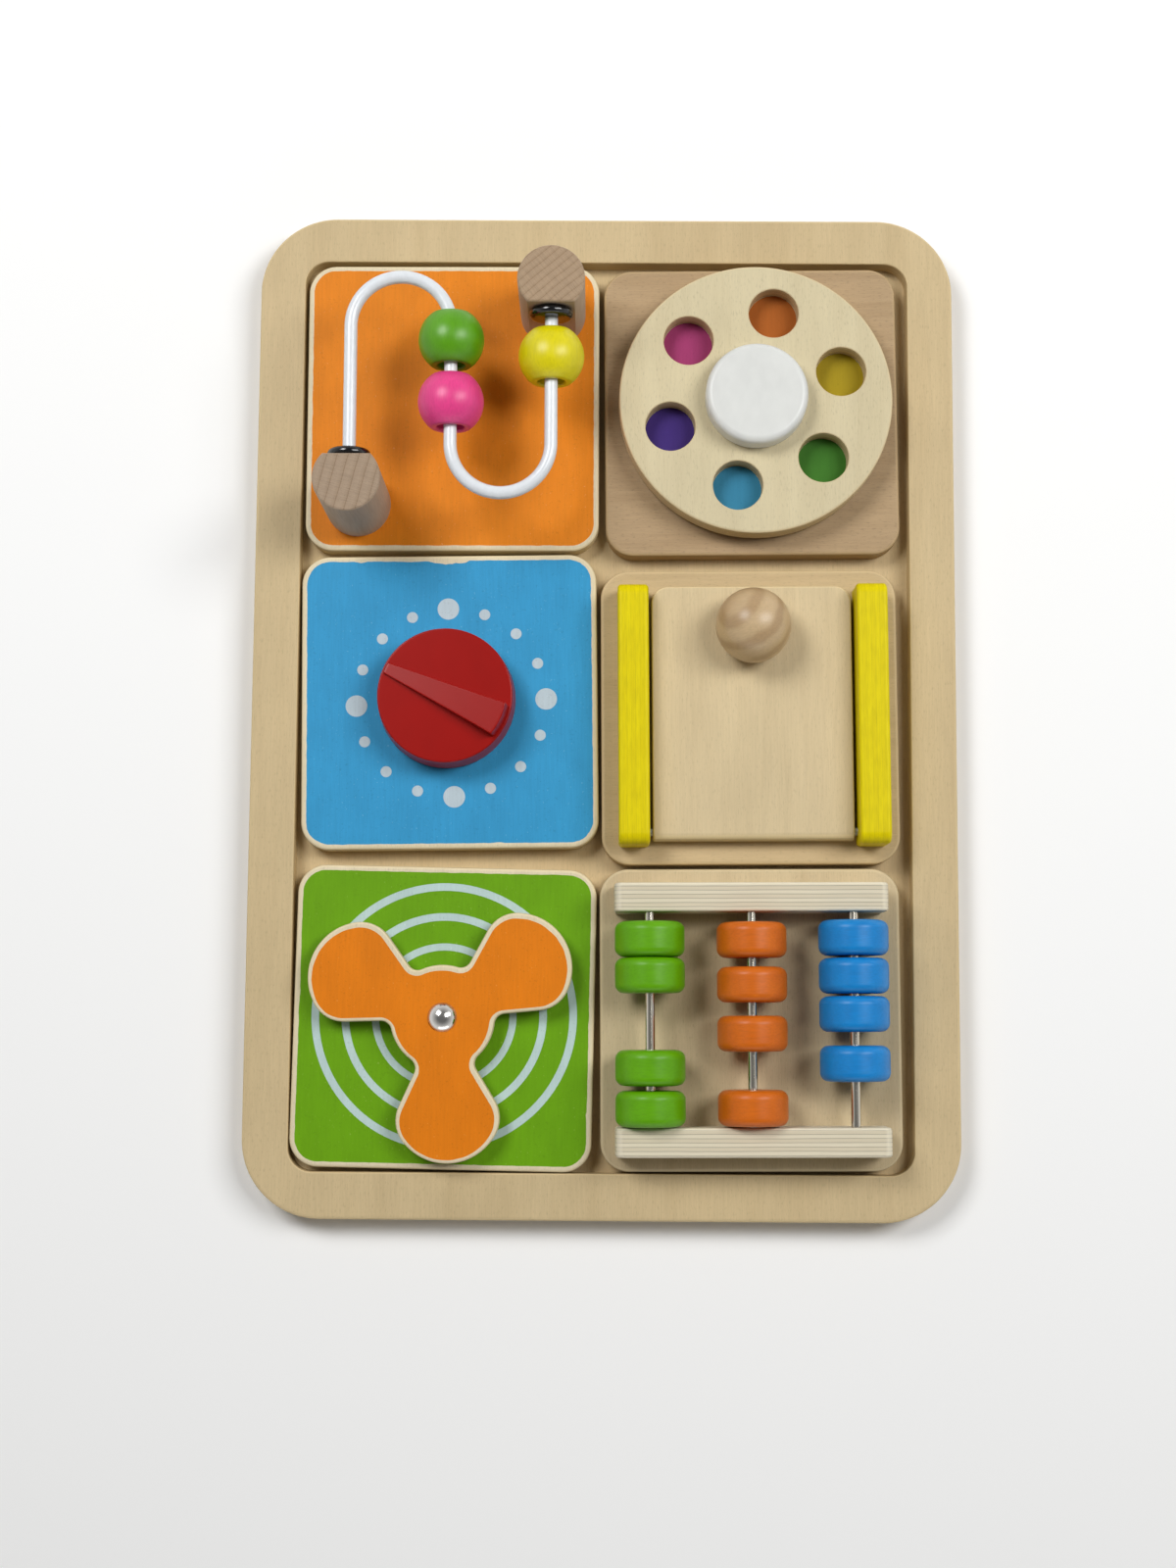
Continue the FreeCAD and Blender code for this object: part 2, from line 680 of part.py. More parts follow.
def make_door():
    board = tile("door_board", "door")
    spots = [(f"door_offset_x + {side} * rail_spread", f"rail_place + {sign} * rail_length / 4")
             for side in (-1, 1) for sign in (-1, 1)]
    for x, y in spots:
        screw_hole(board, x, y)
    screw_group("rail_screws", "door", spots)
    make_rail("rail_left", -1)
    make_rail("rail_right", 1)
    pin = new_body("hinge_pin")
    half = "rail_spread - rail_width / 2 + pin_grip"
    feature(pin, "AdditiveCylinder", "-(" + half + ")", axis="x", Radius="pin_diameter / 2",
            Height="2 * (" + half + ")")
    seat(pin, "door", "door_offset_x", "hinge_place", "hinge_level")
    # The panel is modelled from its hinge line
    panel = new_body("door_panel")
    feature(panel, "AdditiveBox", "-door_width / 2", "-door_thick / 2", "-door_thick / 2",
            Length="door_width", Width="door_length", Height="door_thick")
    foot = along("y", "-door_thick / 2")
    dress(panel, "Fillet", lambda edge: foot(edge) and edge.BoundBox.XLength > 1, "hinge_round")
    end = along("y", "door_length - door_thick / 2")
    dress(panel, "Fillet", both(upright, end), "door_corner")
    far = value("door_length - door_thick / 2")
    top = levels("door_thick / 2", "-door_thick / 2")
    dress(panel, "Fillet", lambda edge: top(edge) and edge.BoundBox.YMax > far - 0.01
          and edge.BoundBox.XLength > 1, "door_edge")
    bore(panel, "pin_diameter + 2 * running_gap", "door_width", "-door_width / 2", axis="x")
    screw_hole(panel, "0", "ball_place - hinge_place", "-door_thick / 2", "door_thick")
    seat(panel, "door", "door_offset_x", "hinge_place", "hinge_level")
    ball = new_body("door_knob")
    centre = "ball_height - ball_diameter / 2"
    sphere = ball.newObject("PartDesign::AdditiveSphere", "ball")
    bind(sphere, Radius="ball_diameter / 2", Angle1=f"-asin(({centre}) / (ball_diameter / 2))")
    place(sphere, z=centre)
    doc.recompute()
    bore(ball, "screw_shank + 2 * fit_gap", "ball_screw_length + screw_sink - door_thick + face_gap")
    seat(ball, "door", "door_offset_x", "ball_place", "door_level + door_thick")
    lone = screw("door_knob_screw", "ball_screw_length")
    lone.Label = "door_knob_screw"
    seat(lone, "door", "door_offset_x", "ball_place", "door_level")
    pieces.append(lone)


def blade_sketch(body):
    # One blade: a root line, two straight sides, two shoulder arcs and a wide tip arc, tangent in turn
    sketch = new_sketch(body, "XY_Plane", angle="spinner_angle")
    reach = value("blade_reach")
    tip = value("blade_tip_radius")
    shoulder = value("blade_shoulder_radius")
    spot = value("blade_shoulder_place")
    root = value("blade_root")
    tip_centre = reach - tip
    rise = math.sqrt((tip - shoulder) ** 2 - (spot - tip_centre) ** 2)
    away = math.hypot(spot, rise - root)
    lean = math.atan2(rise - root, spot) + math.asin(shoulder / away) + math.pi / 2
    touch = Vector(spot + shoulder * math.cos(lean), rise + shoulder * math.sin(lean), 0)
    turn = math.atan2(rise, spot - tip_centre)
    corner = Vector(tip_centre + tip * math.cos(turn), tip * math.sin(turn), 0)
    middle = (lean + turn) / 2
    bulge = Vector(spot + shoulder * math.cos(middle), rise + shoulder * math.sin(middle), 0)

    def flip(point):
        return Vector(point.x, -point.y, 0)

    start = Vector(0, root, 0)
    sketch.addGeometry([
        Part.LineSegment(flip(start), flip(touch)),
        Part.Arc(flip(touch), flip(bulge), flip(corner)),
        Part.Arc(flip(corner), Vector(reach, 0, 0), corner),
        Part.Arc(corner, bulge, touch),
        Part.LineSegment(touch, start),
        Part.LineSegment(start, flip(start)),
    ], False)
    for number in range(4):
        sketch.addConstraint(Sketcher.Constraint("Tangent", number, 2, number + 1, 1))
    sketch.addConstraint(Sketcher.Constraint("Coincident", 4, 2, 5, 1))
    sketch.addConstraint(Sketcher.Constraint("Coincident", 5, 2, 0, 1))
    pin_point(sketch, 5, 1, "0", "blade_root")
    pin_point(sketch, 5, 2, "0", "-blade_root")
    hold(sketch, "Radius", "blade_tip_radius", 2)
    hold(sketch, "Radius", "blade_shoulder_radius", 1)
    hold(sketch, "Radius", "blade_shoulder_radius", 3)
    pin_point(sketch, 2, 3, "blade_reach - blade_tip_radius", "0")
    hold(sketch, "DistanceX", "blade_shoulder_place", -1, 1, 1, 3)
    hold(sketch, "DistanceX", "blade_shoulder_place", -1, 1, 3, 3)
    return sketch


def make_spinner():
    board = tile("propeller_board", "spinner")
    bore(board, "rivet_diameter + 2 * fit_gap", "tile_thick")
    bore(board, "rivet_tail + 2 * fit_gap", "screw_sink + rivet_tail_height")
    spacer = ring("propeller_spacer", "spacer_diameter", "rivet_diameter + 2 * fit_gap", "spacer_thick")
    seat(spacer, "spinner", z="tile_thick")
    body = new_body("propeller")
    blade = body.newObject("PartDesign::Pad", "blade")
    blade.Profile = blade_sketch(body)
    bind(blade, Length="spinner_thick")
    doc.recompute()
    repeat(body, blade, 3)
    feature(body, "AdditiveCylinder", Radius="hub_radius", Height="spinner_thick")
    hub = value("hub_radius")
    dress(body, "Fillet", lambda edge: upright(edge)
          and abs(math.hypot(edge.BoundBox.Center.x, edge.BoundBox.Center.y) - hub) < 0.01, "hub_fillet")
    dress(body, "Fillet", levels("0", "spinner_thick"), "spinner_edge")
    bore(body, "rivet_diameter + 2 * running_gap", "spinner_thick")
    seat(body, "spinner", z="spinner_level")
    rivet = new_body("propeller_rivet")
    shank = "spinner_level + spinner_thick + face_gap - screw_sink"
    feature(rivet, "AdditiveCylinder", Radius="rivet_tail / 2", Height="rivet_tail_height")
    feature(rivet, "AdditiveCylinder", Radius="rivet_diameter / 2", Height=shank)
    dome = "((rivet_dome / 2) ^ 2 + rivet_dome_height ^ 2) / (2 * rivet_dome_height)"
    head = rivet.newObject("PartDesign::AdditiveSphere", "dome")
    bind(head, Radius=dome, Angle1=f"asin(({dome} - rivet_dome_height) / ({dome}))")
    place(head, z=f"{shank} - ({dome} - rivet_dome_height)")
    doc.recompute()
    seat(rivet, "spinner", z="screw_sink")


def make_bar(label, side):
    body = new_body(label)
    slab(body, "bar_length", "bar_width", "bar_height")
    top = level("bar_height")
    dress(body, "Fillet", lambda edge: top(edge) and edge.BoundBox.XLength < 0.01, "bar_end_round")
    dress(body, "Fillet", long_edges("y", "bar_width / 2"), "bar_edge")
    start = "-bar_width / 2" if side > 0 else "bar_width / 2 - rod_grip - face_gap"
    for number in (-1, 0, 1):
        bore(body, "rod_diameter + 2 * fit_gap", "rod_grip + face_gap", f"{number} * rod_spacing", start,
             "rod_height", "y")
    for sign in (-1, 1):
        screw_socket(body, f"{sign} * bar_screw_place / 2")
    seat(body, "abacus", "abacus_offset_x", f"{side} * bar_place", "tile_thick")


def make_abacus():
    board = tile("abacus_board", "abacus")
    spots = [(f"abacus_offset_x + {sign} * bar_screw_place / 2", f"{side} * bar_place")
             for side in (-1, 1) for sign in (-1, 1)]
    for x, y in spots:
        screw_hole(board, x, y)
    screw_group("bar_screws", "abacus", spots)
    make_bar("bar_upper", 1)
    make_bar("bar_lower", -1)
    rods = (("rod_left", "green", -1), ("rod_middle", "orange", 0), ("rod_right", "blue", 1))
    for label, colour, side in rods:
        rod = new_body(label)
        feature(rod, "AdditiveCylinder", "0", "-bar_opening / 2 - rod_grip", "0", "y",
                Radius="rod_diameter / 2", Height="bar_opening + 2 * rod_grip")
        across = f"abacus_offset_x + {side} * rod_spacing"
        seat(rod, "abacus", across, "0", "tile_thick + rod_height")
        used = "0"
        for number, word in enumerate(bead_words):
            used = f"{used} + {colour}_gap_{word}"
            bead = new_body(f"{colour}_bead_{word}")
            feature(bead, "AdditiveCylinder", "0", "-bead_length / 2", "0", "y", Radius="bead_diameter / 2",
                    Height="bead_length")
            dress(bead, "Fillet", lambda edge: edge.BoundBox.YLength < 0.01, "bead_round")
            bore(bead, "bead_bore", "bead_length", "0", "-bead_length / 2", "0", "y")
            seat(bead, "abacus", across, f"bar_opening / 2 - ({used}) - {number + 0.5} * bead_length",
                 "tile_thick + rod_height")


def check_and_write():
    doc.recompute()
    for item in doc.Objects:
        if {"Invalid", "Error"} & set(item.State):
            raise RuntimeError(f"{item.Label} failed: {item.State}")
    for piece in pieces:
        shape = piece.Shape
        if shape.isNull() or not shape.isValid() or not shape.Solids:
            raise RuntimeError(f"{piece.Label} has no valid solid")
    os.makedirs("parts", exist_ok=True)
    for piece in pieces:
        piece.Shape.exportStep(os.path.join("parts", piece.Label + ".step"))
    print(f"{len(pieces)} pieces written")


make_tray()
make_maze()
make_disc()
make_dial()
make_door()
make_spinner()
make_abacus()
check_and_write()
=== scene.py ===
import bpy
import bmesh
import math
from mathutils import Matrix, Vector, noise


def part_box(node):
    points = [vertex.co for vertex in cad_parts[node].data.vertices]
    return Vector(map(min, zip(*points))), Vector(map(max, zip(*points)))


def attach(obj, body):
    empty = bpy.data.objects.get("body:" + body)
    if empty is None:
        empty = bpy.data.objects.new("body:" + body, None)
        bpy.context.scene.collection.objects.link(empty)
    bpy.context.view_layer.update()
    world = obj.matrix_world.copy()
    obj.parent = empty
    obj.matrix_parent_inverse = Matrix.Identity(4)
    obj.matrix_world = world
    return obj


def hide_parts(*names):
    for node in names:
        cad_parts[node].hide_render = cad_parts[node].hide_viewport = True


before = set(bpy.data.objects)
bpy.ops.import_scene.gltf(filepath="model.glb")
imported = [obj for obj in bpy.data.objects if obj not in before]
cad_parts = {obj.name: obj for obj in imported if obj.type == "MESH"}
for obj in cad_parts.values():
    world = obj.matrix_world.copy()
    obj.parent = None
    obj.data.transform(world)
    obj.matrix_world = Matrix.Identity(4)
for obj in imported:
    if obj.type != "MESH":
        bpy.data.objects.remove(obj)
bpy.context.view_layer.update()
print("frame loaded")

# A wooden busy board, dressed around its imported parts.
# Shapes are written in millimetres from the middle and underside of their tile, then laid in the tray.
mm = 0.001
trayFloor = 5
railWidth = 13
turns = {"tray": 0, "maze": 0.2, "disc": 0.7, "dial": 0.9, "door": 0.6, "propeller": -0.9, "abacus": 0.5}


def boxOf(node):
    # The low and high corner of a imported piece, in millimetres
    low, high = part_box(node)
    return low / mm, high / mm


def middleOf(node):
    low, high = boxOf(node)
    return (low + high) / 2


def sizeOf(node):
    low, high = boxOf(node)
    return high - low


centres = {name: middleOf(name + "_board") for name in turns if name != "tray"}
centres["tray"] = Vector((0, 0, 0))


def layIn(module):
    # Takes a module's own millimetres to the frame's metres
    middle = centres[module]
    lift = 0 if module == "tray" else trayFloor
    turn = Matrix.Rotation(math.radians(turns[module]), 4, "Z")
    return Matrix.Scale(mm, 4) @ Matrix.Translation((middle.x, middle.y, lift)) @ turn


def inModule(module, node):
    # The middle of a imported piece, in its module's own millimetres
    return layIn(module).inverted() @ (middleOf(node) * mm)


def hexColour(code):
    # An sRGB hex code as linear light
    shades = [int(code[i:i + 2], 16) / 255 for i in (1, 3, 5)]
    linear = [s / 12.92 if s <= 0.04045 else ((s + 0.055) / 1.055) ** 2.4 for s in shades]
    return (*linear, 1)


def tone(code, drop):
    # A hex colour made darker and a little warmer, as wood is in its late growth
    red, green, blue, solid = hexColour(code)
    return (red * (1 - 0.85 * drop), green * (1 - drop), blue * (1 - 1.2 * drop), solid)


def feed(tree, socket, value):
    # Links a node's first output in use, or a socket, and sets anything else as a constant
    if isinstance(value, bpy.types.Node):
        value = value.outputs[2 if value.bl_idname == "ShaderNodeMix" else 0]
    if isinstance(value, bpy.types.NodeSocket):
        tree.links.new(value, socket)
    else:
        socket.default_value = value


def addNode(tree, kind, inputs=None, stops=None, **settings):
    # stops fill a colour ramp: each has a place and a colour, where a number is a grey
    node = tree.nodes.new(kind)
    for name, value in settings.items():
        setattr(node, name, value)
    for name, value in (inputs or {}).items():
        feed(tree, node.inputs[name], value)
    if stops:
        points = node.color_ramp.elements
        while len(points) < len(stops):
            points.new(0.5)
        for point, (place, colour) in zip(points, stops):
            point.position = place
            point.color = (colour, colour, colour, 1) if isinstance(colour, (int, float)) else colour
    return node


def newMaterial(name):
    material = bpy.data.materials.new(name)
    material.use_nodes = True
    return material, material.node_tree, material.node_tree.nodes["Principled BSDF"]


def localPlace(tree, module, extraTurn=0):
    # Object coordinates seen from the module's own middle
    spot = addNode(tree, "ShaderNodeTexCoord").outputs["Object"]
    middle = centres[module]
    return addNode(tree, "ShaderNodeMapping", {
        "Vector": spot, "Location": (middle.x * mm, middle.y * mm, 0),
        "Rotation": (0, 0, math.radians(turns[module] + extraTurn))}, vector_type="TEXTURE")


def grainNoise(tree, place, width, length, detail=3, distortion=0.0, seed=0.0, axis="y"):
    # Noise drawn out along the grain: width and length are the real size of a streak, in millimetres
    short, long = 1 / (width * mm), 1 / (length * mm)
    scale = {"x": (long, short, short), "y": (short, long, short), "z": (short, short, long)}[axis]
    moved = addNode(tree, "ShaderNodeMapping", {
        "Vector": place, "Location": (seed, seed * 0.7, 0), "Scale": scale})
    return addNode(tree, "ShaderNodeTexNoise", {
        "Vector": moved, "Scale": 1.0, "Detail": detail, "Distortion": distortion})


def shaded(tree, base, pattern, *stops):
    # A colour multiplied by a pattern that is read through the stops
    shade = addNode(tree, "ShaderNodeValToRGB", {"Fac": pattern}, stops)
    return addNode(tree, "ShaderNodeMix", {0: 1.0, 6: base, 7: shade}, data_type="RGBA",
                   blend_type="MULTIPLY")


def levelness(tree):
    # 1 on faces that look up or down, 0 on upright sides
    normal = addNode(tree, "ShaderNodeTexCoord").outputs["Normal"]
    up = addNode(tree, "ShaderNodeSeparateXYZ", {"Vector": normal}).outputs["Z"]
    return addNode(tree, "ShaderNodeMath", {0: up}, operation="ABSOLUTE")


def facingUp(tree, low=0.55, high=0.8):
    # 0 on upright sides and 1 on level faces, with the turn between low and high
    return addNode(tree, "ShaderNodeMapRange", {"Value": levelness(tree), "From Min": low, "From Max": high})


def plyBands(tree, place, letter, thickness, plies, code, line=0.6, change=0.1):
    # Cut plywood: veneers that run with and across, told apart by tone, with a thin glue line between
    across = addNode(tree, "ShaderNodeSeparateXYZ", {"Vector": place}).outputs[letter]
    wobble = grainNoise(tree, place, 9, 30, axis="x" if letter == "Y" else "y")
    moved = addNode(tree, "ShaderNodeMath", {0: wobble, 1: thickness * mm * 0.05, 2: across},
                    operation="MULTIPLY_ADD")
    phase = addNode(tree, "ShaderNodeMath", {0: moved, 1: math.pi * plies / (thickness * mm)},
                    operation="MULTIPLY")
    wave = addNode(tree, "ShaderNodeMath", {0: phase}, operation="SINE")
    glue = addNode(tree, "ShaderNodeMath", {0: wave}, operation="ABSOLUTE")
    level = addNode(tree, "ShaderNodeMapRange", {"Value": wave, "From Min": -1, "From Max": 1})
    veneer = addNode(tree, "ShaderNodeValToRGB", {"Fac": level},
                     [(0.45, tone(code, change)), (0.55, tone(code, 0))])
    return shaded(tree, veneer, glue, (0.05, 1 - line), (0.3, 1.0))


def dressShader(tree, shader, base, roughness, shine, relief, strength, depth):
    # Joins a finish's colour, roughness and gloss, with a relief of the given strength and depth
    bump = addNode(tree, "ShaderNodeBump", {"Height": relief, "Strength": strength, "Distance": depth * mm})
    for name, value in (("Base Color", base), ("Roughness", roughness), ("Specular IOR Level", shine),
                        ("Normal", bump)):
        feed(tree, shader.inputs[name], value)


def woodFinish(name, module, code, contrast=0.1, figure=(9, 120), fibre=0.08, pores=0.14, cross=False,
               edge=None, roughness=0.6, axis="y", plies=7, edgeLetter="Z", edgeThickness=10,
               turn=(0.55, 0.8), seed=0.0):
    # Sanded and sealed plywood: a low contrast figure, fine fibres and short flecks along the grain
    material, tree, shader = newMaterial(name)
    place = localPlace(tree, module, 90 if cross else 0)
    broad = grainNoise(tree, place, *figure, distortion=0.7, seed=seed, axis=axis)
    strand = grainNoise(tree, place, 0.6, 13, detail=4, seed=seed + 3, axis=axis)
    fleck = grainNoise(tree, place, 0.5, 2.4, detail=2, seed=seed + 11, axis=axis)
    cloud = grainNoise(tree, place, 28, 42, detail=2, seed=seed + 7, axis=axis)
    base = addNode(tree, "ShaderNodeValToRGB", {"Fac": broad}, [
        (0.32, tone(code, contrast)), (0.5, tone(code, contrast * 0.35)), (0.68, tone(code, 0))])
    base = shaded(tree, base, strand, (0.32, 1 - fibre), (0.68, 1.0))
    base = shaded(tree, base, fleck, (0.3, 1 - pores), (0.42, 1.0))
    base = shaded(tree, base, cloud, (0.32, 0.94), (0.68, 1.0))
    if edge:
        bands = plyBands(tree, localPlace(tree, module), edgeLetter, edgeThickness, plies, edge)
        bands = shaded(tree, bands, strand, (0.3, 0.94), (0.7, 1.0))
        if edgeLetter == "Z":
            base = addNode(tree, "ShaderNodeMix", {0: facingUp(tree, *turn), 6: bands, 7: base},
                           data_type="RGBA")
        else:
            base = bands
        # Rounded edges are painted paler by their tilt: partly sanding wear, partly a painted highlight where
        # the edges catch the light
        paleEdgeAndHighlight = addNode(tree, "ShaderNodeValToRGB", {"Fac": levelness(tree)}, [
            (0.3, 0.0), (0.6, 0.45), (0.9, 0.45), (0.985, 0.0)])
        base = addNode(tree, "ShaderNodeMix", {0: paleEdgeAndHighlight, 6: base, 7: tone(edge, -0.22)}, data_type="RGBA")
    rough = addNode(tree, "ShaderNodeMapRange", {
        "Value": strand, "To Min": roughness - 0.06, "To Max": roughness + 0.1})
    dressShader(tree, shader, base, rough, 0.2, strand, 0.2, 0.2)
    return material


def ballFinish(name, module, code, deep):
    # A turned hardwood ball: slanting growth layers cut by the sphere, so that they swirl, under a satin seal
    material, tree, shader = newMaterial(name)
    place = localPlace(tree, module)
    tilted = addNode(tree, "ShaderNodeMapping", {"Vector": place, "Rotation": (0.75, 0.5, 0.2)})
    layers = addNode(tree, "ShaderNodeTexWave", {
        "Vector": tilted, "Scale": 34.0, "Distortion": 4.5, "Detail": 3.0, "Detail Scale": 0.9},
        wave_type="BANDS", bands_direction="Z", wave_profile="SIN").outputs["Fac"]
    fleck = grainNoise(tree, tilted, 0.5, 4, axis="x")
    base = addNode(tree, "ShaderNodeValToRGB", {"Fac": layers}, [
        (0.1, hexColour(deep)), (0.5, tone(code, 0.07)), (0.85, hexColour(code))])
    base = shaded(tree, base, fleck, (0.3, 0.88), (0.6, 1.0))
    dressShader(tree, shader, base, 0.34, 0.45, fleck, 0.1, 0.2)
    return material


def printFinish(name, module, colour, pale, roughness=0.5, seed=0.0):
    # Matt screen ink rolled on plywood: tiny pinholes, faint grain showing through and soft mottling
    material, tree, shader = newMaterial(name)
    place = localPlace(tree, module)
    grain = grainNoise(tree, place, 0.8, 14, detail=4, seed=seed)
    mottle = grainNoise(tree, place, 14, 22, seed=seed + 5)
    pinhole = grainNoise(tree, place, 0.7, 1.1, detail=2, seed=seed + 9)
    dirt = grainNoise(tree, place, 0.9, 1.0, seed=seed + 14)
    base = shaded(tree, hexColour(colour), mottle, (0.3, 0.9), (0.7, 1.0))
    base = shaded(tree, base, grain, (0.3, 0.93), (0.65, 1.0))
    base = shaded(tree, base, dirt, (0.3, 0.86), (0.38, 1.0))
    speck = addNode(tree, "ShaderNodeValToRGB", {"Fac": pinhole}, [(0.70, 0.0), (0.76, 0.5)])
    base = addNode(tree, "ShaderNodeMix", {0: speck, 6: base, 7: hexColour(pale)}, data_type="RGBA")
    dressShader(tree, shader, base, roughness, 0.15, grain, 0.2, 0.15)
    return material


def lacquerFinish(name, module, code, deep, roughness=0.34, shine=0.3, axis="y", plies=0, seed=0.0):
    # Tumbled or sprayed lacquer on wood: even colour, faint grain or plies under it and a soft sheen
    material, tree, shader = newMaterial(name)
    place = localPlace(tree, module)
    grain = grainNoise(tree, place, 0.7, 7, detail=4, seed=seed, axis=axis)
    mottle = grainNoise(tree, place, 7, 9, detail=2, seed=seed + 4, axis=axis)
    patch = addNode(tree, "ShaderNodeValToRGB", {"Fac": mottle}, [(0.35, 0.0), (0.75, 0.35)])
    base = addNode(tree, "ShaderNodeMix", {0: patch, 6: hexColour(code), 7: hexColour(deep)},
                   data_type="RGBA")
    base = shaded(tree, base, grain, (0.28, 0.88), (0.6, 1.0))
    if plies:
        veneers = plyBands(tree, place, "X", railWidth, plies, "#FFFFFF", 0.1, 0.05)
        base = addNode(tree, "ShaderNodeMix", {0: 1.0, 6: base, 7: veneers}, data_type="RGBA",
                       blend_type="MULTIPLY")
    rough = addNode(tree, "ShaderNodeMapRange", {
        "Value": grain, "To Min": roughness + 0.08, "To Max": roughness - 0.02})
    dressShader(tree, shader, base, rough, shine, grain, 0.12, 0.2)
    return material


def metalFinish(name, module, colour, roughness, brushed=0.06):
    # Bare bright metal: drawn or polished, with hairlines along its length
    material, tree, shader = newMaterial(name)
    line = grainNoise(tree, localPlace(tree, module), 0.25, 18)
    base = shaded(tree, hexColour(colour), line, (0.3, 0.9), (0.7, 1.0))
    rough = addNode(tree, "ShaderNodeMapRange", {
        "Value": line, "To Min": roughness, "To Max": roughness + brushed})
    for name, value in (("Base Color", base), ("Roughness", rough), ("Metallic", 1)):
        feed(tree, shader.inputs[name], value)
    return material


def plasticFinish(name, module, code, roughness, shine=0.4, grit=2.0):
    # Moulded or dipped plastic: smooth, with the slight waviness of a moulding
    material, tree, shader = newMaterial(name)
    wave = grainNoise(tree, localPlace(tree, module), grit, grit * 1.6, detail=2)
    base = shaded(tree, hexColour(code), wave, (0.3, 0.94), (0.7, 1.0))
    dressShader(tree, shader, base, roughness, shine, wave, 0.06, 0.3)
    return material


def dowelFinish(name, module, angle, period, top, side):
    # Sawn beech dowel: nearly straight growth rings, rays and pores on its end, long pores down its side
    material, tree, shader = newMaterial(name)
    place = localPlace(tree, module, angle)
    strand = grainNoise(tree, place, 0.7, 14, detail=4, distortion=0.4, axis="z")
    shade = grainNoise(tree, place, 6, 60, axis="z")
    sides = addNode(tree, "ShaderNodeValToRGB", {"Fac": shade}, [
        (0.3, tone(side, 0.12)), (0.7, tone(side, 0))])
    sides = shaded(tree, sides, strand, (0.3, 0.88), (0.6, 1.0))
    growth = addNode(tree, "ShaderNodeTexWave", {
        "Vector": place, "Scale": 0.314 / (period * mm), "Distortion": 1.2, "Detail": 2.0,
        "Detail Scale": 0.5}, wave_type="BANDS", bands_direction="X", wave_profile="SAW").outputs["Fac"]
    rays = grainNoise(tree, place, 0.5, 8, detail=2, axis="x", seed=3.0)
    pore = addNode(tree, "ShaderNodeTexVoronoi", {"Vector": place, "Scale": 1700.0})
    ends = addNode(tree, "ShaderNodeValToRGB", {"Fac": growth}, [
        (0.0, tone(top, 0.42)), (0.12, tone(top, 0.06)), (0.6, tone(top, 0)), (0.92, tone(top, 0.12))])
    ends = shaded(tree, ends, rays, (0.35, 0.86), (0.6, 1.0))
    ends = shaded(tree, ends, pore, (0.05, 0.7), (0.3, 1.0))
    base = addNode(tree, "ShaderNodeMix", {0: facingUp(tree), 6: sides, 7: ends}, data_type="RGBA")
    dressShader(tree, shader, base, 0.65, 0.2, strand, 0.25, 0.2)
    return material


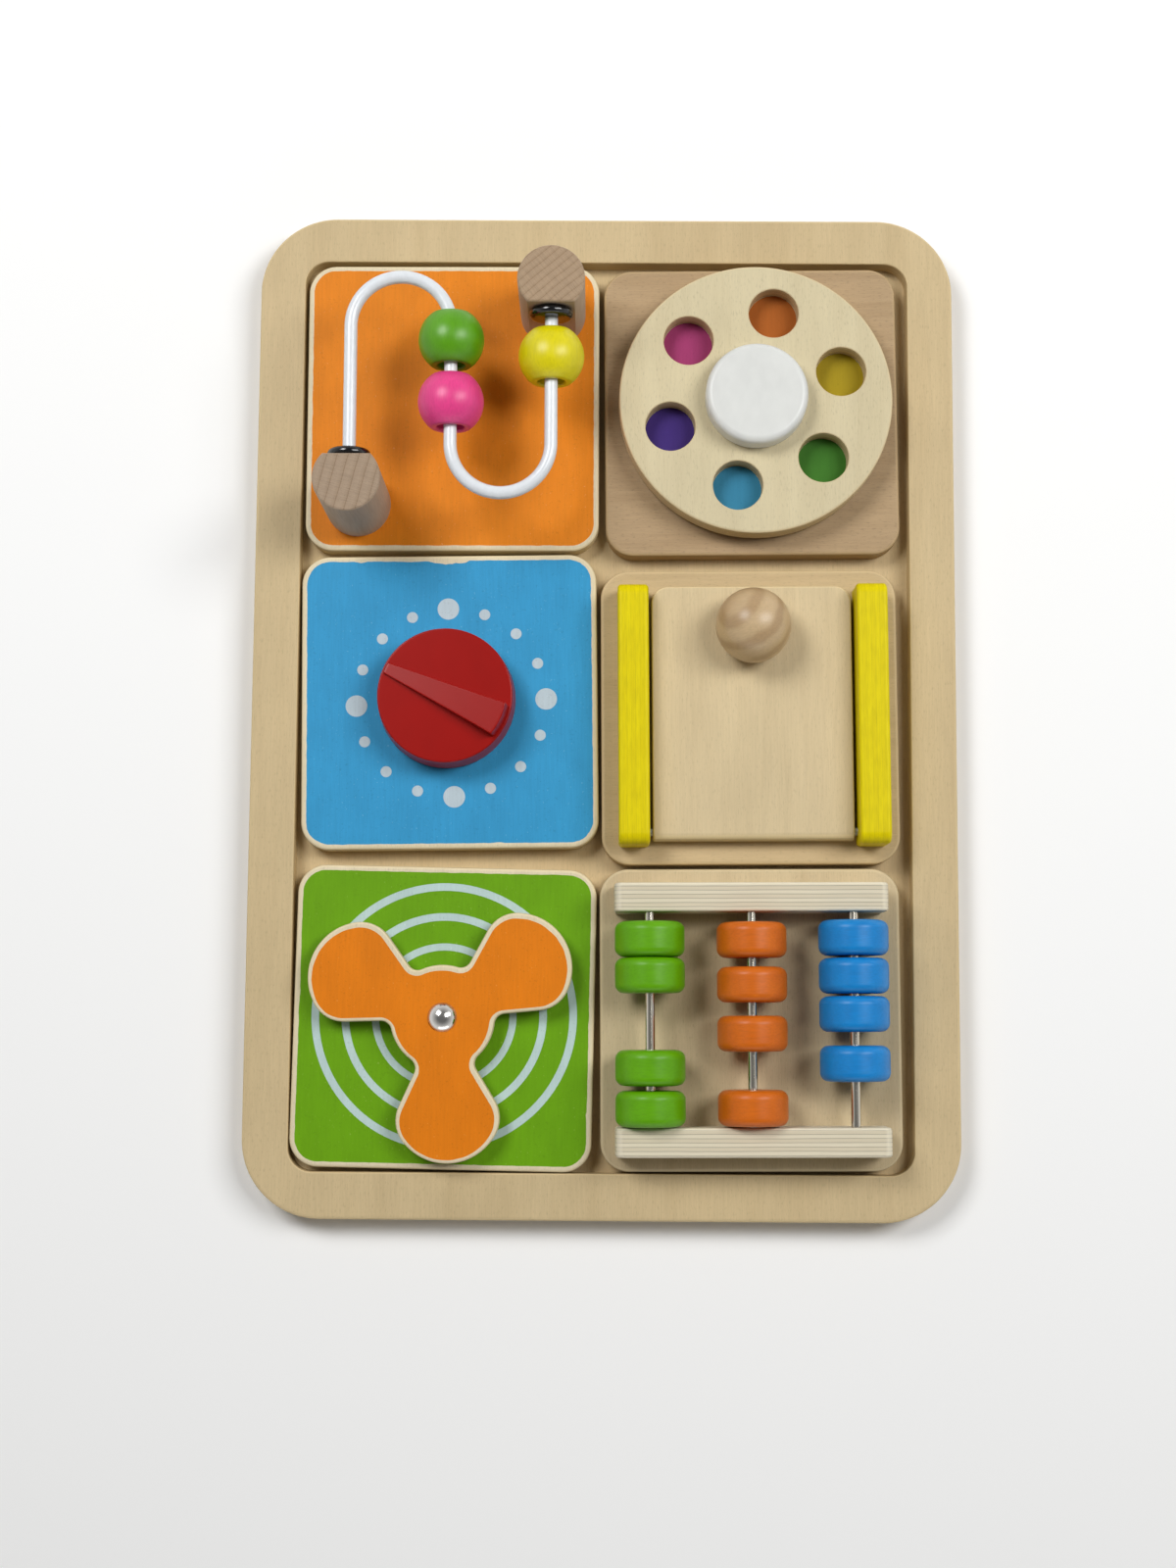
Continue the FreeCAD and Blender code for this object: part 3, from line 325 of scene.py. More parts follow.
finishes = {
    # Lime plywood of the tray, sealed and sanded
    "trayPly": woodFinish("lime_plywood_sealed", "tray", "#D0BA90", 0.09, (16, 150), edge="#D1B98B",
                          edgeThickness=14, plies=9, roughness=0.52),
    "trayFloorPly": woodFinish("lime_plywood_floor", "tray", "#D4BD92", 0.08, (14, 160), edge="#D5BC8E",
                               edgeThickness=14, plies=9, seed=5.0),
    # Birch plywood under the printed tiles, bare at its worn edges
    "tilePly": woodFinish("birch_plywood_tile", "maze", "#E6D8B8", 0.08, (8, 90), edge="#E0CEA6", seed=1.3),
    # Beech-faced plywood, rosier than the rest
    "discTilePly": woodFinish("beech_plywood_bare", "disc", "#B99E7A", 0.13, (6, 70), fibre=0.12, pores=0.22,
                              edge="#BBA076", cross=True, seed=2.1),
    # Bare birch plywood of the door's tile, the door and the abacus
    "doorTilePly": woodFinish("birch_plywood_door_tile", "door", "#CDB58B", 0.1, (8, 110), edge="#D0B78A",
                              cross=True, seed=4.4),
    "doorPly": woodFinish("birch_plywood_door", "door", "#D8C49C", 0.06, (6, 90), fibre=0.07, pores=0.1,
                          edge="#D8C396", edgeThickness=8, plies=5, turn=(0.9, 0.97), seed=6.2),
    "abacusPly": woodFinish("birch_plywood_abacus", "abacus", "#D0BD98", 0.12, (12, 100), edge="#CEBB94",
                            seed=8.5),
    # The same birch plywood stood on edge, so that its veneers show as lines
    "barPly": woodFinish("birch_plywood_on_edge", "abacus", "#DDD2B9", axis="x", edge="#DED4BB",
                         edgeLetter="Y", edgeThickness=12, seed=3.7),
    # Pale poplar plywood of the turning disc
    "discPly": woodFinish("poplar_plywood_disc", "disc", "#D6C9A5", 0.08, (10, 110), fibre=0.06,
                          edge="#D2BD94", edgeThickness=11, seed=9.1),
    # A turned ball of some tropical hardwood
    "ballWood": ballFinish("turned_hardwood_ball", "door", "#C5AA83", "#AF926C"),
    # Matt screen inks on the birch tiles
    "mazeInk": printFinish("orange_ink_on_ply", "maze", "#E5851A", "#ECB075", seed=1.0),
    "dialInk": printFinish("blue_ink_on_ply", "dial", "#389ACC", "#7EBDD7", seed=2.0),
    "ringInk": printFinish("green_ink_on_ply", "propeller", "#6CA40C", "#A5C45A", seed=3.0),
    "bladeInk": printFinish("orange_ink_on_blades", "propeller", "#E57F0F", "#F0AE5B", seed=4.0),
    "whiteInk": printFinish("white_ink", "dial", "#BDCDD5", "#D5E4EA", seed=5.0),
    "paleInk": printFinish("pale_ring_ink", "propeller", "#BFD6D2", "#E2EEEA", seed=6.0),
    # Sprayed lacquers: the rails' plies show through, the turned balls and beads are smoother
    "railLacquer": lacquerFinish("yellow_lacquer_on_ply", "door", "#E2D000", "#CFBA00", 0.42, 0.15, plies=7,
                                 seed=1.0),
    "greenBead": lacquerFinish("green_ball_lacquer", "maze", "#5A9E04", "#458102", shine=0.5),
    "pinkBead": lacquerFinish("pink_ball_lacquer", "maze", "#E7428A", "#D33278", shine=0.5),
    "yellowBead": lacquerFinish("yellow_ball_lacquer", "maze", "#DDD000", "#C9BB00", shine=0.5),
    "green": lacquerFinish("green_bead_lacquer", "abacus", "#62A704", "#4E8D01", axis="x", seed=2.0),
    "orange": lacquerFinish("orange_bead_lacquer", "abacus", "#D36A14", "#BD5608", axis="x", seed=3.0),
    "blue": lacquerFinish("blue_bead_lacquer", "abacus", "#1684CC", "#0E6CB2", axis="x", seed=4.0),
    "capLacquer": plasticFinish("white_cap_lacquer", "disc", "#DADBD7", 0.34, 0.4, grit=6.0),
    # Dipped vinyl on the wire, gloss plastic collars, moulded ABS knob and nylon washers
    "wireCoat": plasticFinish("white_dip_coat", "maze", "#E0E4E8", 0.22, 0.5),
    "collarGloss": plasticFinish("black_gloss_collar", "maze", "#0B0B0C", 0.12, 0.6),
    "knobAbs": plasticFinish("red_moulded_abs", "dial", "#9A0C05", 0.3, 0.22, grit=9.0),
    "washerNylon": plasticFinish("nylon_washer", "dial", "#D9D8D2", 0.5),
    # Drawn steel rods, a chromed rivet and zinc-plated screws
    "rodSteel": metalFinish("drawn_steel_rod", "abacus", "#D2CCBE", 0.16, brushed=0.02),
    "rivetChrome": metalFinish("polished_chrome_dome", "propeller", "#D6D3CE", 0.15, brushed=0.02),
    "screwSteel": metalFinish("zinc_plated_steel", "door", "#A9A9A6", 0.32),
    # Beech dowels sawn across
    "postLeft": dowelFinish("beech_dowel_left", "maze", -15, 4.2, "#A5907A", "#B4A08B"),
    "postRight": dowelFinish("beech_dowel_right", "maze", -50, 2.9, "#AA9277", "#B29D88"),
}
pocketColours = {"yellow": "#A38D17", "orange": "#AA5D1F", "pink": "#9E396B", "purple": "#402A76",
                 "blue": "#3784A6", "green": "#3C7423"}
for word, code in pocketColours.items():
    finishes["pocket_" + word] = printFinish("pocket_floor_" + word, "disc", code, code, roughness=0.6)
print("materials made:", len(finishes))


def finishMesh(mesh, name, module, materials, body, nodes=(), angle=35):
    # Lays a mesh in its module, smooths it and makes it ride on its body
    mesh.transform(layIn(module))
    places = [face.material_index for face in mesh.polygons]
    mesh.materials.clear()
    for material in materials:
        mesh.materials.append(finishes[material])
    if len(materials) > 1:
        mesh.polygons.foreach_set("material_index", places)
    mesh.polygons.foreach_set("use_smooth", [True] * len(mesh.polygons))
    mesh.set_sharp_from_angle(angle=math.radians(angle))
    mesh.name = name
    piece = bpy.data.objects.new(name, mesh)
    bpy.context.scene.collection.objects.link(piece)
    # Keeps the large faces flat beside their rounded edges
    flat = piece.modifiers.new("flat", "WEIGHTED_NORMAL")
    flat.keep_sharp = True
    shaded = bpy.data.meshes.new_from_object(piece.evaluated_get(bpy.context.evaluated_depsgraph_get()))
    piece.modifiers.remove(flat)
    piece.data = shaded
    shaded.name = name
    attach(piece, body)
    if nodes:
        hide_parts(*nodes)
    return piece


def meshFrom(points, faces, slots=None):
    mesh = bpy.data.meshes.new("draft")
    mesh.from_pydata([tuple(point) for point in points], [], faces)
    if slots:
        mesh.polygons.foreach_set("material_index", slots)
    solid = bmesh.new()
    solid.from_mesh(mesh)
    bmesh.ops.recalc_face_normals(solid, faces=solid.faces)
    solid.to_mesh(mesh)
    solid.free()
    return mesh


def skin(rings, loop=False, inked=None):
    # Joins rings of equal length into one closed surface; the cap on the inked ring gets the second material
    count = len(rings[0])
    points = [point for ring in rings for point in ring]
    faces, slots = [], []
    pairs = len(rings) if loop else len(rings) - 1
    for row in range(pairs):
        first, second = row * count, (row + 1) % len(rings) * count
        for i in range(count):
            j = (i + 1) % count
            faces.append((first + i, first + j, second + j, second + i))
            slots.append(0)
    if not loop:
        faces.append(tuple(range(count))[::-1])
        faces.append(tuple(range(len(points) - count, len(points))))
        slots += [0, 1 if pairs == inked else 0]
    return meshFrom(points, faces, slots)


def roundRect(width, length, corner, steps=24):
    # A rounded rectangle's outline, counter-clockwise
    outline = []
    for quarter, (sx, sy) in enumerate(((1, 1), (-1, 1), (-1, -1), (1, -1))):
        for step in range(steps + 1):
            angle = math.radians(90 * quarter + 90 * step / steps)
            outline.append(polar(corner, angle, sx * (width / 2 - corner), sy * (length / 2 - corner)))
    return outline


def polar(radius, angle, x=0, y=0):
    # A point at a distance and an angle from the place x, y
    return (x + radius * math.cos(angle), y + radius * math.sin(angle))


def fillet(edge, steps=6):
    # Inset and drop of a quarter round, from the side to the top
    angles = [math.radians(90 * i / steps) for i in range(steps + 1)]
    return [(edge - edge * math.cos(angle), edge - edge * math.sin(angle)) for angle in angles]


def lathe(profile, loop=False, sides=96):
    # Turns a profile of radius and height round the upright axis
    angles = [2 * math.pi * i / sides for i in range(sides)]
    return skin([[(*polar(radius, angle), height) for angle in angles] for radius, height in profile],
                loop=loop)


def turned(mesh, axis="z", at=(0, 0, 0), spin=0):
    # Lays a turned shape's axis along x, y or z and moves it to its place
    lay = {"x": Matrix.Rotation(math.pi / 2, 4, "Y"), "y": Matrix.Rotation(-math.pi / 2, 4, "X"),
           "z": Matrix.Identity(4)}[axis]
    mesh.transform(Matrix.Translation(at) @ Matrix.Rotation(math.radians(spin), 4, "Z") @ lay)
    return mesh


def softCopy(node, module, material, body, angle=35):
    # A merged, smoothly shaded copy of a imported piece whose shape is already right
    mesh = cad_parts[node].data.copy()
    solid = bmesh.new()
    solid.from_mesh(mesh)
    bmesh.ops.remove_doubles(solid, verts=solid.verts, dist=1e-6)
    bmesh.ops.dissolve_limit(solid, angle_limit=math.radians(0.5), verts=solid.verts, edges=solid.edges)
    solid.to_mesh(mesh)
    solid.free()
    mesh.transform(layIn(module).inverted())
    return finishMesh(mesh, node + "_finish", module, [material], body, [node], angle)


def newTree(name, **sockets):
    # A geometry tree with a geometry in and out and the named inputs
    tree = bpy.data.node_groups.new(name, "GeometryNodeTree")
    tree.interface.new_socket(name="Geometry", in_out="INPUT", socket_type="NodeSocketGeometry")
    for label, kind in sockets.items():
        tree.interface.new_socket(name=label, in_out="INPUT", socket_type="NodeSocket" + kind)
    tree.interface.new_socket(name="Geometry", in_out="OUTPUT", socket_type="NodeSocketGeometry")
    return tree, addNode(tree, "NodeGroupInput").outputs, addNode(tree, "NodeGroupOutput")


def endTree(tree, leave, shape, material):
    # Makes instances real, gives them the material and leaves the tree
    plain = addNode(tree, "GeometryNodeRealizeInstances", {"Geometry": shape})
    painted = addNode(tree, "GeometryNodeSetMaterial", {"Geometry": plain, "Material": material})
    feed(tree, leave.inputs["Geometry"], painted)


def grow(tree, start, material, **values):
    # Runs a tree on a start mesh and gives the result as a plain mesh
    holder = bpy.data.objects.new("holder", start)
    bpy.context.scene.collection.objects.link(holder)
    modifier = holder.modifiers.new("grow", "NODES")
    modifier.node_group = tree
    values["Material"] = finishes[material]
    for item in tree.interface.items_tree:
        if item.in_out == "INPUT" and item.name in values:
            modifier[item.identifier] = values[item.name]
    graph = bpy.context.evaluated_depsgraph_get()
    mesh = bpy.data.meshes.new_from_object(holder.evaluated_get(graph))
    bpy.data.objects.remove(holder)
    return mesh


def makeRodTree():
    # A round rod or wire along an open line
    tree, start, leave = newTree("rodAlongLine", Radius="Float", Sides="Int", Material="Material")
    line = addNode(tree, "GeometryNodeMeshToCurve", {"Mesh": start["Geometry"]})
    section = addNode(tree, "GeometryNodeCurvePrimitiveCircle", {
        "Resolution": start["Sides"], "Radius": start["Radius"]})
    rod = addNode(tree, "GeometryNodeCurveToMesh", {"Curve": line,
                  "Profile Curve": section, "Fill Caps": True})
    endTree(tree, leave, rod, start["Material"])
    return tree


def makeRingTree():
    # A bored bead, washer or printed ring: a rounded section swept round the bore
    tree, start, leave = newTree("boredRing", Outer="Float", Bore="Float", Length="Float", Round="Float",
                                 Sides="Int", Steps="Int", Material="Material")
    both = addNode(tree, "ShaderNodeMath", {0: start["Outer"], 1: start["Bore"]}, operation="ADD")
    middle = addNode(tree, "ShaderNodeMath", {0: both, 1: 0.5}, operation="MULTIPLY")
    wall = addNode(tree, "ShaderNodeMath", {0: start["Outer"], 1: start["Bore"]}, operation="SUBTRACT")
    path = addNode(tree, "GeometryNodeCurvePrimitiveCircle", {"Resolution": start["Sides"], "Radius": middle})
    section = addNode(tree, "GeometryNodeCurvePrimitiveQuadrilateral", {"Width": wall,
                      "Height": start["Length"]})
    place = addNode(tree, "GeometryNodeInputPosition")
    parts = addNode(tree, "ShaderNodeSeparateXYZ", {"Vector": place})
    outside = addNode(tree, "FunctionNodeCompare", {0: parts.outputs["X"], 1: 0.0}, operation="GREATER_THAN")
    small = addNode(tree, "ShaderNodeMath", {0: start["Round"], 1: 0.15}, operation="MULTIPLY")
    radius = addNode(tree, "GeometryNodeSwitch", {"Switch": outside,
                     "False": small, "True": start["Round"]}, input_type="FLOAT")
    soft = addNode(tree, "GeometryNodeFilletCurve", {
        "Curve": section, "Count": start["Steps"], "Radius": radius},
        mode="POLY")
    ring = addNode(tree, "GeometryNodeCurveToMesh", {"Curve": path, "Profile Curve": soft})
    endTree(tree, leave, ring, start["Material"])
    return tree


def makeDotTree():
    # Printed dots round a circle: every fourth one is large
    tree, start, leave = newTree("dialDots", Ring="Float", Large="Float", Small="Float", Thick="Float",
                                 Count="Int", Every="Int", Material="Material")
    circle = addNode(tree, "GeometryNodeMeshCircle", {"Vertices": start["Count"], "Radius": start["Ring"]})
    dot = addNode(tree, "GeometryNodeMeshCylinder", {"Vertices": 48, "Radius": 1.0, "Depth": 1.0})
    index = addNode(tree, "GeometryNodeInputIndex")
    rest = addNode(tree, "ShaderNodeMath", {0: index, 1: start["Every"]}, operation="MODULO")
    isLarge = addNode(tree, "FunctionNodeCompare", {0: rest, 1: 0.5}, operation="LESS_THAN")
    radius = addNode(tree, "GeometryNodeSwitch", {
        "Switch": isLarge, "False": start["Small"], "True": start["Large"]},
        input_type="FLOAT")
    scale = addNode(tree, "ShaderNodeCombineXYZ", {"X": radius, "Y": radius, "Z": start["Thick"]})
    dots = addNode(tree, "GeometryNodeInstanceOnPoints", {"Points": circle, "Instance": dot, "Scale": scale})
    endTree(tree, leave, dots, start["Material"])
    return tree


def makePocketTree():
    # Round finger pockets cut into a disc, each with a small chamfer at its mouth
    tree, start, leave = newTree("fingerPockets", Ring="Float", Radius="Float", Depth="Float", Top="Float",
                                 Chamfer="Float", Count="Int", Material="Material")
    circle = addNode(tree, "GeometryNodeMeshCircle", {"Vertices": start["Count"], "Radius": start["Ring"]})
    twice = addNode(tree, "ShaderNodeMath", {0: start["Depth"], 1: 2.0}, operation="MULTIPLY")
    drill = addNode(tree, "GeometryNodeMeshCylinder", {"Vertices": 72, "Radius": start["Radius"],
                    "Depth": twice})
    wide = addNode(tree, "ShaderNodeMath", {0: start["Radius"], 1: start["Chamfer"]}, operation="ADD")
    wider = addNode(tree, "ShaderNodeMath", {0: wide, 1: start["Chamfer"]}, operation="ADD")
    sink = addNode(tree, "ShaderNodeMath", {0: start["Chamfer"], 1: 2.0}, operation="MULTIPLY")
    bit = addNode(tree, "GeometryNodeMeshCone", {"Vertices": 72, "Radius Top": wider,
                  "Radius Bottom": start["Radius"], "Depth": sink})
    shape = start["Geometry"]
    mouth = addNode(tree, "ShaderNodeMath", {0: start["Top"], 1: start["Chamfer"]}, operation="SUBTRACT")
    for cutter, height in ((drill, start["Top"]), (bit, mouth)):
        up = addNode(tree, "ShaderNodeCombineXYZ", {"Z": height})
        moved = addNode(tree, "GeometryNodeTransform", {"Geometry": cutter, "Translation": up})
        cutters = addNode(tree, "GeometryNodeInstanceOnPoints", {"Points": circle, "Instance": moved})
        plain = addNode(tree, "GeometryNodeRealizeInstances", {"Geometry": cutters})
        shape = addNode(tree, "GeometryNodeMeshBoolean", {"Mesh 1": shape, "Mesh 2": plain},
                        operation="DIFFERENCE", solver="EXACT")
    endTree(tree, leave, shape, start["Material"])
    return tree


rodTree = makeRodTree()
ringTree = makeRingTree()
dotTree = makeDotTree()
pocketTree = makePocketTree()
print("geometry trees made")


def lineMesh(points):
    # An open line through the points, or an empty start when there are none
    mesh = bpy.data.meshes.new("line")
    mesh.from_pydata([tuple(point) for point in points], [(i, i + 1) for i in range(len(points) - 1)], [])
    return mesh


def makeRing(outer, bore, length, edge, material, sides=96, steps=6):
    # A bead, washer or printed ring round the upright axis
    return grow(ringTree, lineMesh([]), material, Outer=outer, Bore=bore, Length=length, Round=edge,
                Sides=sides, Steps=steps)


# The printed edge wanders by the wander sizes, and a chip is a place, a reach and a depth
tile = {"size": 126, "corner": 12, "edge": 1.6, "thick": 10, "inkInset": 2.3, "wander": (0.2, 0.12),
        "pieces": 70}


def tileMesh(ink=False, chips=(), seed=0.0):
    # A rounded tile; on a printed one the ink stops just inside the worn edge
    sides = [(inset, tile["thick"] - drop) for inset, drop in fillet(tile["edge"])]
    profile = [(inset, tile["thick"] - height) for inset, height in reversed(sides)] + sides
    rings = [[(x, y, height) for x, y in tileOutline(inset)] for inset, height in profile]
    inked = len(rings)
    if ink:
        border = []
        broad, fine = tile["wander"]
        for x, y in tileOutline(tile["inkInset"]):
            wear = broad * noise.noise(Vector((x * 0.21 + seed, y * 0.21, seed)))
            wear += fine * noise.noise(Vector((x * 0.9, y * 0.9 + seed, 2)))
            for chipX, chipY, reach, depth in chips:
                near = max(0.0, 1 - math.hypot(x - chipX, y - chipY) / reach)
                wear += depth * near * (0.6 + 0.8 * abs(noise.noise(Vector((x * 1.3, y * 1.3, 5)))))
            pull = 1 - wear / (tile["size"] / 2)
            border.append((x * pull, y * pull, tile["thick"]))
        rings.append(border)
    return skin(rings, inked=inked if ink else None)


def tileOutline(inset):
    # A rounded square with points along its straight runs, so that an edge can wander
    outline = roundRect(tile["size"] - 2 * inset, tile["size"] - 2 * inset, tile["corner"] - inset)
    dense = []
    for i, (x, y) in enumerate(outline):
        nextX, nextY = outline[(i + 1) % len(outline)]
        pieces = tile["pieces"] if math.hypot(nextX - x, nextY - y) > tile["size"] / 3 else 1
        for part in range(pieces):
            share = part / pieces
            dense.append((x + (nextX - x) * share, y + (nextY - y) * share))
    return dense


tray = {"width": 300, "length": 430, "corner": 33, "edge": 1.5, "floor": 5, "top": 14, "recessWidth": 261,
        "recessLength": 391, "recessCorner": 10, "recessEdge": 0.8}


def makeTray():
    def outline(inset):
        return roundRect(tray["width"] - 2 * inset, tray["length"] - 2 * inset, tray["corner"] - inset)

    def inner(growth):
        return roundRect(tray["recessWidth"] + 2 * growth, tray["recessLength"] + 2 * growth,
                         tray["recessCorner"] + growth)

    low = [(inset, drop) for inset, drop in reversed(fillet(tray["edge"]))]
    base = skin([[(x, y, height) for x, y in outline(inset)] for inset, height in low + [(0, tray["floor"])]])
    finishMesh(base, "tray_floor_sheet", "tray", ["trayFloorPly"], "tray", ["tray_base"])
    outside = [(inset, tray["top"] - drop) for inset, drop in fillet(tray["edge"])]
    rings = [[(x, y, tray["floor"]) for x, y in outline(0)]]
    rings += [[(x, y, height) for x, y in outline(inset)] for inset, height in outside]
    inside = [(inset, tray["top"] - drop) for inset, drop in reversed(fillet(tray["recessEdge"]))]
    rings += [[(x, y, height) for x, y in inner(inset)] for inset, height in inside]
    rings.append([(x, y, tray["floor"]) for x, y in inner(0)])
    finishMesh(skin(rings, loop=True), "tray_rim", "tray", ["trayPly"], "tray", ["tray_frame"])
    print("tray made")


maze = {"offset": (1.3, -0.8), "leg": 41.7, "bend": 25, "post": 28, "postHeight": 48, "flat": 10,
        "chamfer": 0.7, "reach": 42, "wire": 5.4, "wireHeight": 37, "grip": 8, "collar": 18, "collarThick": 4,
        "collarRound": 1.9, "collarGrip": 0.02, "bead": 27.4, "beadLength": 22, "bore": 11.5, "lip": 0.9}


def postMesh(side):
    # A dowel with a milled flat towards the wire and a broken top edge
    def outline(inset):
        radius, flat = maze["post"] / 2 - inset, maze["flat"] - inset
        start = math.asin(flat / radius)
        arc = [polar(radius, math.pi - start + (math.pi + 2 * start) * i / 90) for i in range(91)]
        across = arc[-1][0]
        return arc + [(across - 2 * across * i / 12, flat) for i in range(1, 12)]

    edge = maze["chamfer"]
    levels = ((0, 0), (0, maze["postHeight"] - edge), (edge * 0.35, maze["postHeight"] - edge * 0.35),
              (edge, maze["postHeight"]))
    rings = [[(-side * x, -side * y, height) for x, y in outline(inset)] for inset, height in levels]
    return skin(rings)


def makeMaze():
    offsetX, offsetY = maze["offset"]
    top = tile["thick"]
    wireZ = top + maze["wireHeight"]
    finishMesh(tileMesh(ink=True, seed=3.0), "maze_tile", "maze", ["tilePly", "mazeInk"], "maze_module",
               ["maze_board"])
    for word, side in (("left", -1), ("right", 1)):
        spot = (offsetX + side * maze["leg"], offsetY + side * maze["reach"], top)
        post = turned(postMesh(side), at=spot)
        finishMesh(post, f"dowel_{word}", "maze", ["post" + word.title()], "maze_module",
                   ["post_" + word], angle=25)
        collar = makeRing(maze["collar"] / 2, maze["wire"] / 2 - maze["collarGrip"], maze["collarThick"],
                          maze["collarRound"], "collarGloss", steps=8)
        across = offsetY + side * (maze["reach"] - maze["flat"] - maze["collarThick"] / 2)
        turned(collar, "y", (spot[0], across, wireZ))
        finishMesh(collar, f"glossy_collar_{word}", "maze", ["collarGloss"], "maze_module",
                   ["collar_" + word], angle=60)
    # The wire's middle line: three straight legs and two half rounds
    leg, bend = maze["leg"], maze["bend"]
    end = maze["reach"] - maze["flat"] + maze["grip"]
    line = [(-leg, -end), (-leg, bend)]
    for centre, start, sign, turn in ((-leg / 2, math.pi, 1, -1), (leg / 2, math.pi, -1, 1)):
        line += [polar(leg / 2, start + turn * math.pi * i / 48, centre, sign * bend) for i in range(1, 49)]
        line.append((centre + leg / 2, -sign * bend) if sign > 0 else (leg, end))
    points = [(x + offsetX, y + offsetY, wireZ) for x, y in line]
    wire = grow(rodTree, lineMesh(points), "wireCoat", Radius=maze["wire"] / 2, Sides=40)
    finishMesh(wire, "bent_wire", "maze", ["wireCoat"], "maze_module", ["maze_wire"], angle=50)
    # Turned balls with wide bores, flattened where they are drilled
    half, bore, ball = maze["beadLength"] / 2, maze["bore"] / 2, maze["bead"] / 2
    reach = math.asin(half / ball)
    shell = [polar(ball, -reach + 2 * reach * i / 40) for i in range(41)]
    lip = maze["lip"]
    rise = [(bore + lip - lip * math.sin(angle), half - lip + lip * math.cos(angle))
            for angle in (math.radians(90 * i / 6) for i in range(7))]
    fall = [(radius, -height) for radius, height in reversed(rise)]
    profile = shell + rise + [(bore, 0)] + fall
    for word in ("green", "pink", "yellow"):
        place = inModule("maze", "bead_" + word)
        bead = turned(lathe(profile, loop=True), "y", place)
        finishMesh(bead, f"{word}_ball", "maze", [word + "Bead"], word + "_maze_bead",
                   ["bead_" + word], angle=45)
    print("bead maze made")


disc = {"radius": 58.2, "thick": 11, "edge": 1.2, "pocketRing": 38.3, "pocket": 10.65, "depth": 9,
        "first": 17.8, "chamfer": 0.35, "cap": 21.7, "capHeight": 10.2, "capEdge": 3, "capFoot": 0.5,
        "paint": 0.25, "paintGap": 0.15, "paintEdge": 0.4}


def makeDisc():
    finishMesh(tileMesh(seed=4.0), "disc_tile", "disc", ["discTilePly"], "disc_module",
               ["disc_board"])
    middle = inModule("disc", "colour_disc")
    low = middle.z - disc["thick"] / 2
    high = low + disc["thick"]
    edge = fillet(disc["edge"])
    profile = [(disc["radius"] - inset, drop) for inset, drop in reversed(edge)]
    profile += [(disc["radius"] - inset, disc["thick"] - drop) for inset, drop in edge]
    blank = lathe(profile, sides=160)
    wheel = grow(pocketTree, blank, "discPly", Ring=disc["pocketRing"], Radius=disc["pocket"],
                 Depth=disc["depth"], Top=disc["thick"], Chamfer=disc["chamfer"], Count=len(pocketColours))
    turned(wheel, at=(middle.x, middle.y, low), spin=disc["first"])
    finishMesh(wheel, "finger_disc", "disc", ["discPly"], "disc", ["colour_disc"], angle=30)
    for number, word in enumerate(pocketColours):
        angle = math.radians(disc["first"] + 60 * number)
        spot = (*polar(disc["pocketRing"], angle, middle.x, middle.y), high - disc["depth"])
        rim, paint = disc["pocket"] - disc["paintGap"], disc["paint"]
        floor = [(rim, 0.0), (rim, paint * 0.6), (rim - disc["paintEdge"], paint)]
        floor = turned(lathe(floor, sides=72), at=spot)
        finishMesh(floor, f"pocket_paint_{word}", "disc", ["pocket_" + word], "disc")
    capEdge = fillet(disc["capEdge"], 10)
    profile = [(disc["cap"] - disc["capFoot"], 0.0), (disc["cap"], disc["capFoot"])]
    profile += [(disc["cap"] - inset, disc["capHeight"] - drop) for inset, drop in capEdge]
    cap = turned(lathe(profile, sides=120), at=(middle.x, middle.y, high))
    finishMesh(cap, "white_cap", "disc", ["capLacquer"], "disc", ["disc_cap"])
    print("colour disc made")


dial = {"foot": 29.2, "top": 28.4, "height": 14, "edge": 0.7, "footEdge": 0.3, "wall": 2.5,
        "gripAngle": -25.4, "inset": 0.9, "narrow": 4.9, "wide": 14.5, "low": 1, "high": 6, "sink": 2,
        "draft": 1.6, "soft": 0.45, "crease": 40, "topInsets": (4, 12),
        "chips": ((-5, 60.7, 3.2, 1.6), (-1.5, 60.7, 3.6, 2.3), (2, 60.7, 3.4, 1.7), (5.5, 60.7, 3, 1.9),
                  (-16, 60.7, 9, 0.6), (-38, 60.7, 3, 0.9), (-58, 20, 3, 0.5), (60.7, 45, 3, 0.5),
                  (20, -60.7, 3, 0.5))}
dots = {"middle": (0.8, -0.6), "ring": 40.35, "large": 4.6, "small": 2.35, "first": 91.63, "count": 16,
        "every": 4, "thick": 0.08}


